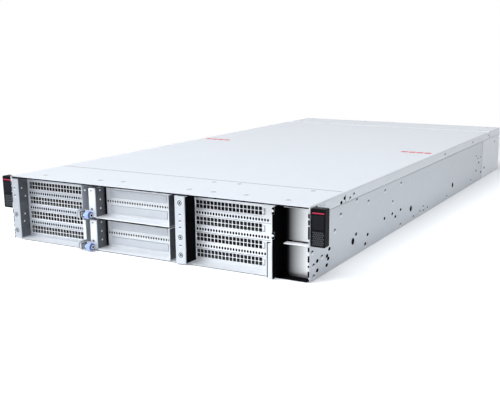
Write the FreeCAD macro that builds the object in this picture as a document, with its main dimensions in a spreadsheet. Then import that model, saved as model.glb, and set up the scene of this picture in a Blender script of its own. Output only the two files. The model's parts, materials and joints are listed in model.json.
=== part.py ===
import FreeCAD, Part
import math
import os
from types import SimpleNamespace
import Sketcher

# Driving sizes: millimetres, counts and degrees
SIZES = {
    # Chassis shell
    "width": 447.0,
    "height": 87.0,
    "depth": 920.0,
    "sheet": 1.2,
    "cover_sheet": 1.0,
    "cover_drop": 13.0,
    "cover_clear": 0.1,
    "seam": 0.6,
    "panel_gap": 0.4,
    "wall_lip": 12.0,
    "front_panel_depth": 100.0,
    "rear_panel_depth": 88.0,
    "rear_wall_length": 142.0,
    "rail_first": 125.6,
    "rail_pitch": 224.7,
    "rail_height": 20.0,
    "rail_radius": 3.0,
    # Widths across the front, from the left side to the right
    "column_width": 12.5,
    "left_cage_width": 111.0,
    "finger_gap": 12.0,
    "tray_width": 123.0,
    "tray_gap": 12.3,
    "centre_column_width": 14.0,
    "right_cage_width": 119.4,
    "column_height": 81.8,
    "centre_column_height": 83.4,
    "centre_column_reach": 5.0,
    "right_cage_reach": 8.0,
    # Card slots and their vented brackets
    "cage_depth": 300.0,
    "cage_height": 82.8,
    "slot_recess": 17.5,
    "slot_count": 4,
    "slot_low": 11.2,
    "slot_pitch": 20.32,
    "window_height": 12.4,
    "window_length": 94.0,
    "bracket_sheet": 1.0,
    "bracket_height": 18.6,
    "bracket_length": 100.0,
    "vent_columns": 18,
    "vent_pitch": 5.1,
    "vent_rise": 5.2,
    "vent_wide": 3.7,
    "vent_tall": 4.0,
    "slot_flange_width": 5.4,
    "slot_flange_height": 41.8,
    "hook_notch_low": 46.6,
    "hook_notch_pitch": 28.6,
    "hook_notch_height": 8.0,
    "hook_notch_depth": 6.0,
    # Blank panels of the right bay
    "filler_recess": 12.0,
    "filler_lip": 9.0,
    "filler_channel": 8.8,
    "filler_step": 10.0,
    "filler_split": 41.8,
    "filler_gap": 1.6,
    "filler_top": 84.3,
    # Rack ears
    "ear_width": 17.8,
    "ear_front": 2.0,
    "ear_thick": 10.8,
    "ear_low": 41.6,
    "ear_high": 85.0,
    "ear_corner": 2.0,
    "ear_tab": 26.0,
    # Pull-out card trays
    "tray_height": 39.8,
    "tray_length": 250.0,
    "tray_recess": 18.0,
    "tray_clear": 0.4,
    "tray_sheet": 1.0,
    "shelf_sheet": 1.0,
    "guide_height": 8.0,
    "guide_start": 30.0,
    "guide_length": 210.0,
    "blank_length": 88.0,
    "blank_height": 9.6,
    "blank_raise": 0.8,
    "blank_clear": 0.3,
    "blank_start": 20.0,
    "arm_width": 10.0,
    "arm_low": 7.4,
    "arm_drop": 1.4,
    "arm_hole": 2.0,
    # Spring plungers that lock the trays
    "knob_radius": 4.8,
    "knob_length": 8.4,
    "knob_rise": 4.4,
    "knob_reach": 6.6,
    "knob_start": 1.2,
    "core_radius": 3.0,
    "pin_radius": 2.0,
    "pin_clear": 0.3,
    "fit_clear": 0.05,
    # Double-width accelerator cards and their risers
    "card_length": 262.0,
    "card_half": 18.4,
    "card_skin": 1.0,
    "card_fins": 12,
    "fin_sheet": 0.8,
    "board_sheet": 1.6,
    "riser_reach": 10.0,
    "riser_start": 60.0,
    "riser_length": 190.0,
    # Fan row
    "fan_start": 320.0,
    "fan_size": 80.0,
    "fan_depth": 38.0,
    "fan_margin": 12.3,
    "fan_count": 5,
    "fan_bore": 38.0,
    "rotor_reach": 35.0,
    "rotor_hub": 20.0,
    "rotor_depth": 27.0,
    "rotor_blades": 5,
    "rotor_gap": 0.5,
    "shaft_radius": 2.5,
    "seat_radius": 18.0,
    "strut": 3.0,
    "fan_lip": 9.0,
    # Main board with processors and memory
    "board_front": 385.0,
    "board_rise": 6.0,
    "board_thick": 2.0,
    "board_margin": 4.0,
    "standoff_radius": 3.2,
    "sink_width": 84.0,
    "sink_length": 110.0,
    "sink_base": 5.0,
    "sink_height": 62.0,
    "sink_fins": 17,
    "socket_height": 6.5,
    "bank_width": 56.0,
    "bank_count": 8,
    "memory_length": 133.0,
    "memory_height": 31.0,
    "memory_thick": 3.4,
    "memory_start": 75.0,
    # Power supplies
    "psu_width": 73.5,
    "psu_height": 39.6,
    "psu_length": 185.0,
    "psu_clear": 0.4,
    "psu_side": 3.0,
    "handle_reach": 24.0,
    "handle_sheet": 2.0,
    "handle_height": 10.0,
    "handle_width": 34.0,
    "latch_sheet": 2.0,
    "latch_barrel": 1.4,
    "latch_reach": 15.0,
    "latch_height": 14.0,
    "inlet_width": 27.6,
    "inlet_height": 20.0,
    "inlet_depth": 16.0,
    # Rear slots and ports
    "rear_slot_count": 3,
    "rear_slot_low": 26.0,
    "rear_vent_start": -84.0,
    "rear_vent_low": 46.0,
    "rear_vent_wide": 22.0,
    "rear_vent_tall": 12.0,
    "rear_vent_pitch": 26.0,
    "rear_vent_rise": 16.0,
    "rear_vent_count": 8,
    "port_start": -85.0,
    "port_height": 13.6,
    "port_width": 16.0,
    "port_depth": 21.0,
    "port_pitch": 24.0,
    "port_count": 5,
}

doc = FreeCAD.newDocument("gpu_server")
sheet = doc.addObject("Spreadsheet::Sheet", "Sizes")


class Size:
    """A value with the sheet formula that gives it, so that sums of sizes stay bound to the sheet."""

    def __init__(self, value, formula):
        self.value = value
        self.formula = formula

    def __add__(self, other):
        other = as_size(other)
        return Size(self.value + other.value, f"({self.formula} + {other.formula})")

    def __sub__(self, other):
        other = as_size(other)
        return Size(self.value - other.value, f"({self.formula} - {other.formula})")

    def __mul__(self, other):
        other = as_size(other)
        return Size(self.value * other.value, f"({self.formula} * {other.formula})")

    def __truediv__(self, other):
        other = as_size(other)
        return Size(self.value / other.value, f"({self.formula} / {other.formula})")

    def __neg__(self):
        return Size(-self.value, f"(0 - {self.formula})")

    def __radd__(self, other):
        return as_size(other) + self

    def __rsub__(self, other):
        return as_size(other) - self

    def __rmul__(self, other):
        return as_size(other) * self


def as_size(number):
    """A plain number as a size."""
    return number if isinstance(number, Size) else Size(float(number), repr(float(number)))


s = SimpleNamespace()
for row, (word, number) in enumerate(SIZES.items(), 1):
    sheet.set(f"A{row}", word)
    sheet.set(f"B{row}", str(number))
    sheet.setAlias(f"B{row}", word)
    setattr(s, word, Size(number, f"Sizes.{word}"))
doc.recompute()

nodes = []


def bind(thing, prop, size):
    """Drive one property from the sheet."""
    thing.setExpression(prop, as_size(size).formula)


def node(thing, label):
    """Mark an object as one handed-in piece."""
    thing.Label = label
    nodes.append(thing)
    return thing


def box(name, x, y, z):
    """A block between two places on each axis."""
    thing = doc.addObject("Part::Box", name)
    for prop, axis, (start, end) in zip(("Length", "Width", "Height"), "xyz", (x, y, z)):
        bind(thing, prop, as_size(end) - start)
        bind(thing, f"Placement.Base.{axis}", start)
    return thing


TURNS = {
    "x": FreeCAD.Rotation(FreeCAD.Vector(0, 1, 0), 90),
    "y": FreeCAD.Rotation(FreeCAD.Vector(1, 0, 0), -90),
    "z": FreeCAD.Rotation(),
}


def rod(name, axis, start, radius, length):
    """A cylinder from a start point along one axis."""
    thing = doc.addObject("Part::Cylinder", name)
    thing.Placement = FreeCAD.Placement(FreeCAD.Vector(), TURNS[axis])
    bind(thing, "Radius", radius)
    bind(thing, "Height", length)
    for letter, place in zip("xyz", start):
        bind(thing, f"Placement.Base.{letter}", place)
    return thing


def join(name, shapes):
    """Several shapes welded into one."""
    thing = doc.addObject("Part::MultiFuse", name)
    thing.Shapes = shapes
    return thing


def cut(name, base, tools):
    """A shape with other shapes taken out of it."""
    thing = doc.addObject("Part::Cut", name)
    thing.Base = base
    thing.Tool = tools[0] if len(tools) == 1 else join(name + "_tools", tools)
    return thing


def group(name, shapes):
    """Separate solids kept in one piece."""
    thing = doc.addObject("Part::Compound", name)
    thing.Links = shapes
    return thing


def body(name):
    """An empty body that may hold several solids."""
    thing = doc.addObject("PartDesign::Body", name)
    thing.AllowCompound = True
    return thing


def rect(x0, x1, y0, y1):
    """Corner points of a rectangle."""
    return [(x0, y0), (x1, y0), (x1, y1), (x0, y1)]


def circle(x, y, radius):
    """A round loop."""
    return SimpleNamespace(x=x, y=y, radius=radius)


def polygon(x, y, radius, sides):
    """Corner points of an even-sided loop that stands on a flat."""
    turns = [math.pi * (2 * step + 1) / sides for step in range(sides)]
    return [(x + radius * math.cos(turn), y + radius * math.sin(turn)) for turn in turns]


def hold(sketch, kind, index, point, size):
    """Hold one point's distance from the sketch origin to a size."""
    size = as_size(size)
    place = sketch.addConstraint(Sketcher.Constraint(kind, -1, 1, index, point, size.value))
    sketch.setExpression(f"Constraints[{place}]", size.formula)


def draw(part, plane, start, loops):
    """A sketch on an origin plane of a body, moved along the plane's axis to the start."""
    sketch = part.newObject("Sketcher::SketchObject", part.Name + "_sketch")
    support = next(f for f in part.Origin.OriginFeatures if f.Role == plane + "_Plane")
    sketch.AttachmentSupport = [(support, "")]
    sketch.MapMode = "FlatFace"
    bind(sketch, "AttachmentOffset.Base.z", -as_size(start) if plane == "XZ" else start)
    for loop in loops:
        first = sketch.GeometryCount
        if isinstance(loop, SimpleNamespace):
            x, y, radius = as_size(loop.x), as_size(loop.y), as_size(loop.radius)
            centre = FreeCAD.Vector(x.value, y.value, 0)
            sketch.addGeometry(Part.Circle(centre, FreeCAD.Vector(0, 0, 1), radius.value), False)
            hold(sketch, "DistanceX", first, 3, x)
            hold(sketch, "DistanceY", first, 3, y)
            place = sketch.addConstraint(Sketcher.Constraint("Radius", first, radius.value))
            sketch.setExpression(f"Constraints[{place}]", radius.formula)
            continue
        points = [(as_size(x), as_size(y)) for x, y in loop]
        count = len(points)
        for here, there in zip(points, points[1:] + points[:1]):
            line = [FreeCAD.Vector(x.value, y.value, 0) for x, y in (here, there)]
            sketch.addGeometry(Part.LineSegment(*line), False)
        for step in range(count):
            joint = Sketcher.Constraint("Coincident", first + step, 2, first + (step + 1) % count, 1)
            sketch.addConstraint(joint)
        for step, (x, y) in enumerate(points):
            hold(sketch, "DistanceX", first + step, 1, x)
            hold(sketch, "DistanceY", first + step, 1, y)
    return sketch


def pad(part, plane, start, length, *loops):
    """Add material from the start towards the plus side of the plane's axis."""
    feature = part.newObject("PartDesign::Pad", part.Name + "_pad")
    feature.Profile = draw(part, plane, start, loops)
    bind(feature, "Length", length)
    feature.Reversed = plane == "XZ"
    part.Tip = feature
    return feature


def pocket(part, plane, start, length, *loops):
    """Take material from the start towards the plus side of the plane's axis."""
    feature = part.newObject("PartDesign::Pocket", part.Name + "_pocket")
    feature.Profile = draw(part, plane, start, loops)
    bind(feature, "Length", length)
    feature.Reversed = plane != "XZ"
    part.Tip = feature
    return feature


def repeat(part, feature, along, pitch, count, rise=None, rows=None):
    """Repeat a feature in a row along one sketch axis, or in a grid along both."""
    pattern = part.newObject("PartDesign::LinearPattern", part.Name + "_row")
    pattern.Originals = [feature]
    sketch = feature.Profile[0]
    pattern.Direction = (sketch, [along])
    bind(pattern, "Length", pitch * (as_size(count) - 1))
    bind(pattern, "Occurrences", count)
    if rows is not None:
        pattern.Direction2 = (sketch, ["V_Axis"])
        bind(pattern, "Length2", rise * (as_size(rows) - 1))
        bind(pattern, "Occurrences2", rows)
    part.Tip = pattern
    return pattern


# Planes and edges that the pieces share
half = s.width / 2
front = -s.depth / 2
rear = s.depth / 2
floor = s.sheet
inner = half - s.sheet
roof_under = s.height - s.cover_sheet
cover_edge = s.height - s.cover_drop
x_column = -half + s.column_width
x_cage = x_column + s.left_cage_width
x_tray = x_cage + s.finger_gap
x_tray_end = x_tray + s.tray_width
x_centre = x_tray_end + s.tray_gap
x_right = x_centre + s.centre_column_width
x_bay = x_right + s.right_cage_width
slot_plane = front + s.slot_recess
cage_end = front + s.cage_depth

# Bottom pan with the stand-offs under the main board
board_y = front + s.board_front
board_x = inner - s.board_margin
psu_right = inner - s.sheet - s.psu_side
psu_left = psu_right - s.psu_width
psu_front = rear - s.psu_length
board_end = psu_front - 14
base_pan = body("base_pan")
pad(base_pan, "XY", 0, floor, rect(-inner, inner, front, rear))
post = pad(base_pan, "XY", floor, s.board_rise, polygon(-board_x + 12, board_y + 12, s.standoff_radius, 6))
repeat(base_pan, post, "H_Axis", (board_x * 2 - 24) / 3, 4, (board_end - board_y - 24) / 2, 3)
node(base_pan, "base_pan")


def side_wall(name, sign, start, end, holes):
    """One side sheet, stepped in at the top for the cover and folded over to a lip."""
    top = roof_under - s.cover_clear
    step = cover_edge - s.seam
    section = [
        (inner, 0),
        (half, 0),
        (half, step),
        (inner, step),
        (inner, top),
        (inner - s.sheet - s.wall_lip, top),
        (inner - s.sheet - s.wall_lip, top - s.sheet),
        (inner - s.sheet, top - s.sheet),
        (inner - s.sheet, step - s.sheet),
        (inner, step - s.sheet),
    ]
    wall = body(name)
    pad(wall, "XZ", start, end - start, [(x * sign, z) for x, z in section])
    if holes:
        outside = inner if sign > 0 else -half
        hole = circle(front + s.rail_first, s.rail_height, s.rail_radius)
        bore = pocket(wall, "YZ", outside, s.sheet, hole)
        repeat(wall, bore, "H_Axis", s.rail_pitch, 3)
    return node(wall, name)


def roof(name, start, end):
    """One top sheet with a flange down each side."""
    deep = half - s.cover_sheet
    section = [
        (-half, cover_edge),
        (-half, s.height),
        (half, s.height),
        (half, cover_edge),
        (deep, cover_edge),
        (deep, roof_under),
        (-deep, roof_under),
        (-deep, cover_edge),
    ]
    sheet_body = body(name)
    pad(sheet_body, "XZ", start, end - start, section)
    return node(sheet_body, name)


rear_split = rear - s.rear_wall_length
wall_end = rear - s.sheet
side_wall("right_side_wall", 1, front, rear_split - s.panel_gap, True)
side_wall("left_side_wall", -1, front, rear_split - s.panel_gap, True)
side_wall("right_rear_wall", 1, rear_split, wall_end, False)
side_wall("left_rear_wall", -1, rear_split, wall_end, False)
front_edge = front + s.front_panel_depth
rear_edge = rear - s.rear_panel_depth
roof("front_top_panel", front, front_edge)
roof("top_cover", front_edge + s.panel_gap, rear_edge - s.panel_gap)
roof("rear_top_panel", rear_edge, rear)

# Rear wall with openings for power supplies, slots, ports and air
board_low = floor + s.board_rise
board_top = board_low + s.board_thick
rear_slot_x = -inner + 12
port_x = s.port_start
rear_wall = body("rear_wall")
pad(rear_wall, "XZ", wall_end, s.sheet, rect(-inner, inner, floor, roof_under - s.cover_clear))
psu_top = floor + s.psu_clear * 3 + s.psu_height * 2 + s.shelf_sheet
pocket(rear_wall, "XZ", wall_end, s.sheet, rect(psu_left - 0.6, psu_right + 0.6, floor, psu_top + 0.6))
rear_slot = rect(rear_slot_x, rear_slot_x + s.window_length, s.rear_slot_low - 5.5, s.rear_slot_low + 5.5)
opening = pocket(rear_wall, "XZ", wall_end, s.sheet, rear_slot)
repeat(rear_wall, opening, "V_Axis", s.slot_pitch, s.rear_slot_count)
port_hole = rect(port_x - 0.3, port_x + s.port_width + 0.3, board_top, board_top + s.port_height + 0.3)
opening = pocket(rear_wall, "XZ", wall_end, s.sheet, port_hole)
repeat(rear_wall, opening, "H_Axis", s.port_pitch, s.port_count)
vent_end = s.rear_vent_start + s.rear_vent_wide
vent_top = s.rear_vent_low + s.rear_vent_tall
rear_vent = rect(s.rear_vent_start, vent_end, s.rear_vent_low, vent_top)
opening = pocket(rear_wall, "XZ", wall_end, s.sheet, rear_vent)
repeat(rear_wall, opening, "H_Axis", s.rear_vent_pitch, s.rear_vent_count, s.rear_vent_rise, 2)
node(rear_wall, "rear_wall")

# Left column of the front frame
column = body("left_column")
column_section = [
    (-inner, front),
    (x_column, front),
    (x_column, slot_plane),
    (x_column - s.sheet, slot_plane),
    (x_column - s.sheet, front + s.sheet),
    (-inner, front + s.sheet),
]
pad(column, "XY", floor, s.column_height, column_section)
relief_low = cover_edge - s.seam - s.sheet - s.tray_clear
relief = rect(-inner, -inner + s.sheet + s.tray_clear, relief_low, floor + s.column_height)
pocket(column, "XZ", front, s.sheet, relief)
node(column, "left_column")

# Heights and axes of the two trays and their plungers
tray_low = floor + s.tray_clear
tray_pitch = s.tray_height + s.tray_clear * 2 + s.shelf_sheet
knob_y = front - s.knob_reach
knob_z = tray_low + s.knob_rise


def slot_windows(cage, start):
    """Cut the row of slot openings through a cage front."""
    low = s.slot_low - s.window_height / 2
    opening = rect(start, start + s.window_length, low, low + s.window_height)
    window = pocket(cage, "XZ", slot_plane, s.sheet, opening)
    repeat(cage, window, "V_Axis", s.slot_pitch, s.slot_count)


# Left card cage: slotted front, side wall and the two tabs that take the plunger pins
cage = body("left_cage")
cage_section = [
    (x_column - s.sheet, slot_plane),
    (x_cage - s.sheet, slot_plane),
    (x_cage - s.sheet, front),
    (x_cage, front),
    (x_cage, cage_end),
    (x_cage - s.sheet, cage_end),
    (x_cage - s.sheet, slot_plane + s.sheet),
    (x_column - s.sheet, slot_plane + s.sheet),
]
pad(cage, "XY", floor, s.cage_height, cage_section)
tab_section = [
    (front, knob_z - 4.6),
    (knob_y - 2, knob_z - 4.6),
    (knob_y - 5, knob_z - 2),
    (knob_y - 5, knob_z + 3),
    (knob_y - 2, knob_z + 6),
    (front, knob_z + 6),
]
tab = pad(cage, "YZ", x_cage - s.sheet, s.sheet, tab_section)
repeat(cage, tab, "V_Axis", tray_pitch, 2)
bore = pocket(cage, "YZ", x_cage - s.sheet, s.sheet, circle(knob_y, knob_z, s.pin_radius + s.pin_clear))
repeat(cage, bore, "V_Axis", tray_pitch, 2)
slot_windows(cage, x_column + 1.6)
node(cage, "left_cage")

# Centre column: a channel whose long leg parts the trays from the right cards
column = body("centre_column")
column_front = front - s.centre_column_reach
column_section = [
    (x_centre, column_front),
    (x_right, column_front),
    (x_right, slot_plane),
    (x_right - s.sheet, slot_plane),
    (x_right - s.sheet, column_front + s.sheet),
    (x_centre + s.sheet, column_front + s.sheet),
    (x_centre + s.sheet, cage_end),
    (x_centre, cage_end),
]
pad(column, "XY", floor, s.centre_column_height, column_section)
node(column, "centre_column")

# Right card cage with its front flange
cage = body("right_cage")
flange_y = front - s.right_cage_reach
cage_section = [
    (x_right - s.sheet, slot_plane),
    (x_bay - s.sheet, slot_plane),
    (x_bay - s.sheet, flange_y),
    (x_bay, flange_y),
    (x_bay, cage_end),
    (x_bay - s.sheet, cage_end),
    (x_bay - s.sheet, slot_plane + s.sheet),
    (x_right - s.sheet, slot_plane + s.sheet),
]
pad(cage, "XY", floor, s.cage_height, cage_section)
flange_section = [
    (x_bay - s.slot_flange_width, floor),
    (x_bay, floor),
    (x_bay, floor + s.slot_flange_height),
    (x_bay - s.slot_flange_width + 2.5, floor + s.slot_flange_height),
    (x_bay - s.slot_flange_width, floor + s.slot_flange_height - 2.5),
]
pad(cage, "XZ", flange_y, s.sheet, flange_section)
notch_top = s.hook_notch_low + s.hook_notch_height
notch_section = rect(flange_y, flange_y + s.hook_notch_depth, s.hook_notch_low, notch_top)
notch = pocket(cage, "YZ", x_bay - s.sheet, s.sheet, notch_section)
repeat(cage, notch, "V_Axis", s.hook_notch_pitch, 2)
slot_windows(cage, x_right + 0.4)
node(cage, "right_cage")


def vented_brackets(name, start):
    """The vented blank brackets behind one row of slots."""
    brackets = []
    behind = slot_plane + s.sheet
    for index in range(int(s.slot_count.value)):
        centre = s.slot_low + s.slot_pitch * index
        low = centre - s.bracket_height / 2
        bracket = body(f"{name}_{index + 1}")
        plate = rect(start, start + s.bracket_length, low, low + s.bracket_height)
        pad(bracket, "XZ", behind, s.bracket_sheet, plate)
        vent_x = start + 2.4
        vent_z = centre - s.vent_rise / 2 - s.vent_tall / 2
        hole = rect(vent_x, vent_x + s.vent_wide, vent_z, vent_z + s.vent_tall)
        vent = pocket(bracket, "XZ", behind, s.bracket_sheet, hole)
        repeat(bracket, vent, "H_Axis", s.vent_pitch, s.vent_columns, s.vent_rise, 2)
        brackets.append(bracket)
    return node(group(name, brackets), name)


vented_brackets("left_slot_brackets", x_column + 0.2)
vented_brackets("right_slot_brackets", x_right - 1)

# Blank panels of the right bay, one above the other, each with a deep channel along its left edge
fillers = []
filler_y = front + s.filler_recess
channel_end = x_bay + s.filler_channel
filler_heights = ((floor, s.filler_split), (s.filler_split + s.filler_gap, s.filler_top))
for index, (low, high) in enumerate(filler_heights):
    filler = body(f"bay_filler_{index + 1}")
    filler_section = [
        (filler_y, low),
        (filler_y + s.sheet, low),
        (filler_y + s.sheet, high),
        (filler_y - s.filler_lip, high),
        (filler_y - s.filler_lip, high - s.sheet),
        (filler_y, high - s.sheet),
    ]
    pad(filler, "YZ", channel_end, inner - s.sheet - channel_end, filler_section)
    web = rect(channel_end, channel_end + s.sheet, low, high)
    pad(filler, "XZ", filler_y, s.filler_step + s.sheet, web)
    pad(filler, "XZ", filler_y + s.filler_step, s.sheet, rect(x_bay, channel_end + s.sheet, low, high))
    fillers.append(filler)
node(group("bay_fillers", fillers), "bay_fillers")

# Rack ears: folded steel brackets with moulded caps
brackets = []
caps = []
for side, sign in (("left", -1), ("right", 1)):
    cap_back = front + s.ear_front + s.ear_thick
    bracket = body(f"{side}_ear_bracket")
    bracket_section = [
        (half, cap_back),
        (half + s.ear_width - 0.8, cap_back),
        (half + s.ear_width - 0.8, cap_back + s.sheet),
        (half + s.sheet, cap_back + s.sheet),
        (half + s.sheet, cap_back + s.ear_tab),
        (half, cap_back + s.ear_tab),
    ]
    low = s.ear_low + 1
    pad(bracket, "XY", low, s.ear_high - 2 - s.ear_low, [(x * sign, y) for x, y in bracket_section])
    brackets.append(bracket)
    cap = body(f"{side}_ear_cap")
    outer = half + s.ear_width
    cap_section = [
        (half, s.ear_low),
        (outer - s.ear_corner, s.ear_low),
        (outer, s.ear_low + s.ear_corner),
        (outer, s.ear_high - s.ear_corner),
        (outer - s.ear_corner, s.ear_high),
        (half, s.ear_high),
    ]
    pad(cap, "XZ", front + s.ear_front, s.ear_thick, [(x * sign, z) for x, z in cap_section])
    caps.append(cap)
node(group("ear_brackets", brackets), "ear_brackets")
node(group("ear_caps", caps), "ear_caps")

# Shelf and guide rails of the trays
shelf_low = tray_low + s.tray_height + s.tray_clear
shelf_top = shelf_low + s.shelf_sheet
shelf = box("tray_shelf", (x_cage, x_centre), (front + s.tray_recess + 2, cage_end), (shelf_low, shelf_top))
node(shelf, "tray_shelf")
rails = []
rail_y = (front + s.guide_start, front + s.guide_start + s.guide_length)
for index, base in enumerate((floor, shelf_top)):
    rail_z = (base, base + s.guide_height)
    rails.append(box(f"left_rail_{index}", (x_cage, x_tray - s.tray_clear), rail_y, rail_z))
    rails.append(box(f"right_rail_{index}", (x_tray_end + s.tray_clear, x_centre), rail_y, rail_z))
node(group("tray_guides", rails), "tray_guides")


def tray(name, low):
    """One pull-out tray with blank covers, pull arm, riser board and locking plunger."""
    high = low + s.tray_height
    thin = s.tray_sheet
    face_y = front + s.tray_recess
    tray_end = front + s.tray_length
    shell = body(f"{name}_tray")
    channel = [
        (x_tray, low),
        (x_tray_end, low),
        (x_tray_end, high),
        (x_tray_end - thin, high),
        (x_tray_end - thin, low + thin),
        (x_tray + thin, low + thin),
        (x_tray + thin, high),
        (x_tray, high),
    ]
    pad(shell, "XZ", face_y, tray_end - face_y, channel)
    pad(shell, "XZ", face_y, thin, rect(x_tray + thin, x_tray_end - thin, low + thin, high))
    pad(shell, "XZ", front, s.tray_recess, rect(x_tray_end - thin, x_tray_end, low, high))
    pad(shell, "XZ", front, s.tray_recess, rect(x_tray + s.arm_width, x_tray_end - thin, low, low + thin))
    blank_x = x_tray + s.blank_start
    blank_z = low + s.tray_height / 2 - s.slot_pitch / 2
    tall = s.blank_height / 2
    gap = s.blank_clear
    window = rect(blank_x - gap, blank_x + s.blank_length + gap, blank_z - tall - gap, blank_z + tall + gap)
    opening = pocket(shell, "XZ", face_y, thin, window)
    repeat(shell, opening, "V_Axis", s.slot_pitch, 2)
    node(shell, f"{name}_tray")

    covers = []
    for index in range(2):
        middle = blank_z + s.slot_pitch * index
        cover = body(f"{name}_cover_{index + 1}")
        plate = rect(blank_x - 4, blank_x + s.blank_length + 4, middle - tall - 2.6, middle + tall + 2.6)
        pad(cover, "XZ", face_y + thin, s.bracket_sheet, plate)
        raised = rect(blank_x, blank_x + s.blank_length, middle - tall, middle + tall)
        pad(cover, "XZ", face_y - s.blank_raise, s.blank_raise + thin, raised)
        covers.append(cover)
    node(group(f"{name}_tray_covers", covers), f"{name}_tray_covers")

    arm = body(f"{name}_tray_arm")
    arm_x = x_tray + s.arm_width
    arm_low = low + s.arm_low
    arm_high = high - s.arm_drop
    strip = [
        (x_tray + 3, arm_low),
        (arm_x, arm_low),
        (arm_x, arm_high),
        (x_tray + 1, arm_high),
        (x_tray, arm_high - 1),
        (x_tray, arm_low + 3),
    ]
    pad(arm, "XZ", front - thin, thin, strip, circle(x_tray + s.arm_width * 0.4, arm_low + 3.4, s.arm_hole))
    pad(arm, "XZ", front, s.tray_recess, rect(arm_x - thin, arm_x, low + 0.6, arm_high))
    ear_x = x_cage + 3.4
    pad(arm, "XZ", front, thin, rect(ear_x, arm_x - thin, low + 0.6, low + s.knob_rise + 4.6))
    ear_section = rect(knob_y - 5, front, low + 0.6, low + s.knob_rise + 4.6)
    pad(arm, "YZ", ear_x, thin, ear_section)
    axis_z = low + s.knob_rise
    pocket(arm, "YZ", ear_x, thin, circle(knob_y, axis_z, s.pin_radius + s.pin_clear))
    node(arm, f"{name}_tray_arm")

    riser_x = (x_tray_end - thin - s.board_sheet, x_tray_end - thin)
    pieces = [box(f"{name}_riser_board", riser_x, (front + 60, front + 200), (low + thin, high - 2))]
    for index in range(2):
        middle = blank_z + s.slot_pitch * index
        socket_x = (riser_x[0] - s.riser_reach, riser_x[0])
        socket_z = (middle - 3.6, middle + 3.6)
        pieces.append(box(f"{name}_socket_{index}", socket_x, (front + 84, front + 172), socket_z))
    node(join(f"{name}_tray_riser", pieces), f"{name}_tray_riser")

    knob_x = x_cage + s.finger_gap - s.knob_start
    tip_x = x_cage + s.pin_clear
    pin = rod(f"{name}_pin", "x", (tip_x, knob_y, axis_z), s.pin_radius, knob_x - tip_x)
    core = rod(f"{name}_core", "x", (knob_x, knob_y, axis_z), s.core_radius, s.knob_length + 0.4)
    node(join(f"{name}_plunger_pin", [pin, core]), f"{name}_plunger_pin")
    barrel = rod(f"{name}_barrel", "x", (knob_x, knob_y, axis_z), s.knob_radius, s.knob_length)
    bore_radius = s.core_radius + s.fit_clear
    bore = rod(f"{name}_barrel_bore", "x", (knob_x - 1, knob_y, axis_z), bore_radius, s.knob_length + 2)
    node(cut(f"{name}_plunger_knob", barrel, [bore]), f"{name}_plunger_knob")


tray("lower", tray_low)
tray("upper", tray_low + tray_pitch)

# Accelerator cards: open-ended shrouds, finned blocks, boards and risers
card_y = slot_plane + s.sheet + s.bracket_sheet + 1
card_end = card_y + s.card_length
left_riser = x_cage - s.sheet
right_riser = x_centre + s.sheet
shrouds = []
fin_blocks = []
card_boards = []
risers = []
for side, x0, x1, riser, sign in (
    ("left", -inner + 14, left_riser - s.riser_reach - s.board_sheet - 1, left_riser, -1),
    ("right", right_riser + s.riser_reach + s.board_sheet + 1, x_bay - s.sheet - 3, right_riser, 1),
):
    board_face = riser + s.board_sheet * sign
    low_x, high_x = (board_face, riser) if sign < 0 else (riser, board_face)
    riser_y = front + s.riser_start
    riser_range = (riser_y, riser_y + s.riser_length)
    pieces = [box(f"{side}_riser", (low_x, high_x), riser_range, (floor, s.cage_height))]
    for index in range(2):
        middle = s.slot_low + s.slot_pitch * (0.5 + 2 * index)
        low = middle - s.card_half
        high = middle + s.card_half
        tag = f"{side}_{index + 1}"
        skin = s.card_skin
        shroud = body(f"shroud_{tag}")
        hollow = rect(x0 + skin, x1 - skin, low + skin, high - skin)
        pad(shroud, "XZ", card_y, s.card_length, rect(x0, x1, low, high), hollow)
        shrouds.append(shroud)
        board_z = (low + skin, low + skin + s.board_sheet)
        board_range = (card_y + 4, card_end - 6)
        card_boards.append(box(f"card_board_{tag}", (x0 + skin, x1 - skin), board_range, board_z))
        fins = body(f"fins_{tag}")
        fin_low = board_z[1]
        pad(fins, "XZ", card_y + 10, s.card_length - 40, rect(x0 + 3, x1 - 3, fin_low, fin_low + 4))
        blade = rect(x0 + 3, x0 + 3 + s.fin_sheet, fin_low + 4, high - 2)
        fin = pad(fins, "XZ", card_y + 10, s.card_length - 40, blade)
        repeat(fins, fin, "H_Axis", (x1 - x0 - 6 - s.fin_sheet) / (s.card_fins - 1), s.card_fins)
        fin_blocks.append(fins)
        plug_x = board_face + s.riser_reach * sign
        socket_x = (plug_x, board_face) if sign < 0 else (board_face, plug_x)
        socket_z = (board_z[0] - 2, board_z[0] + 5.6)
        pieces.append(box(f"card_socket_{tag}", socket_x, (riser_y + 20, riser_y + 109), socket_z))
        edge_x = (x1, plug_x) if sign < 0 else (plug_x, x0)
        pieces.append(box(f"card_edge_{tag}", edge_x, (riser_y + 22, riser_y + 107), board_z))
    risers.append(join(f"{side}_riser_board", pieces))
node(group("card_shrouds", shrouds), "card_shrouds")
node(group("card_fins", fin_blocks), "card_fins")
node(group("card_boards", card_boards), "card_boards")
node(group("riser_boards", risers), "riser_boards")

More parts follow.
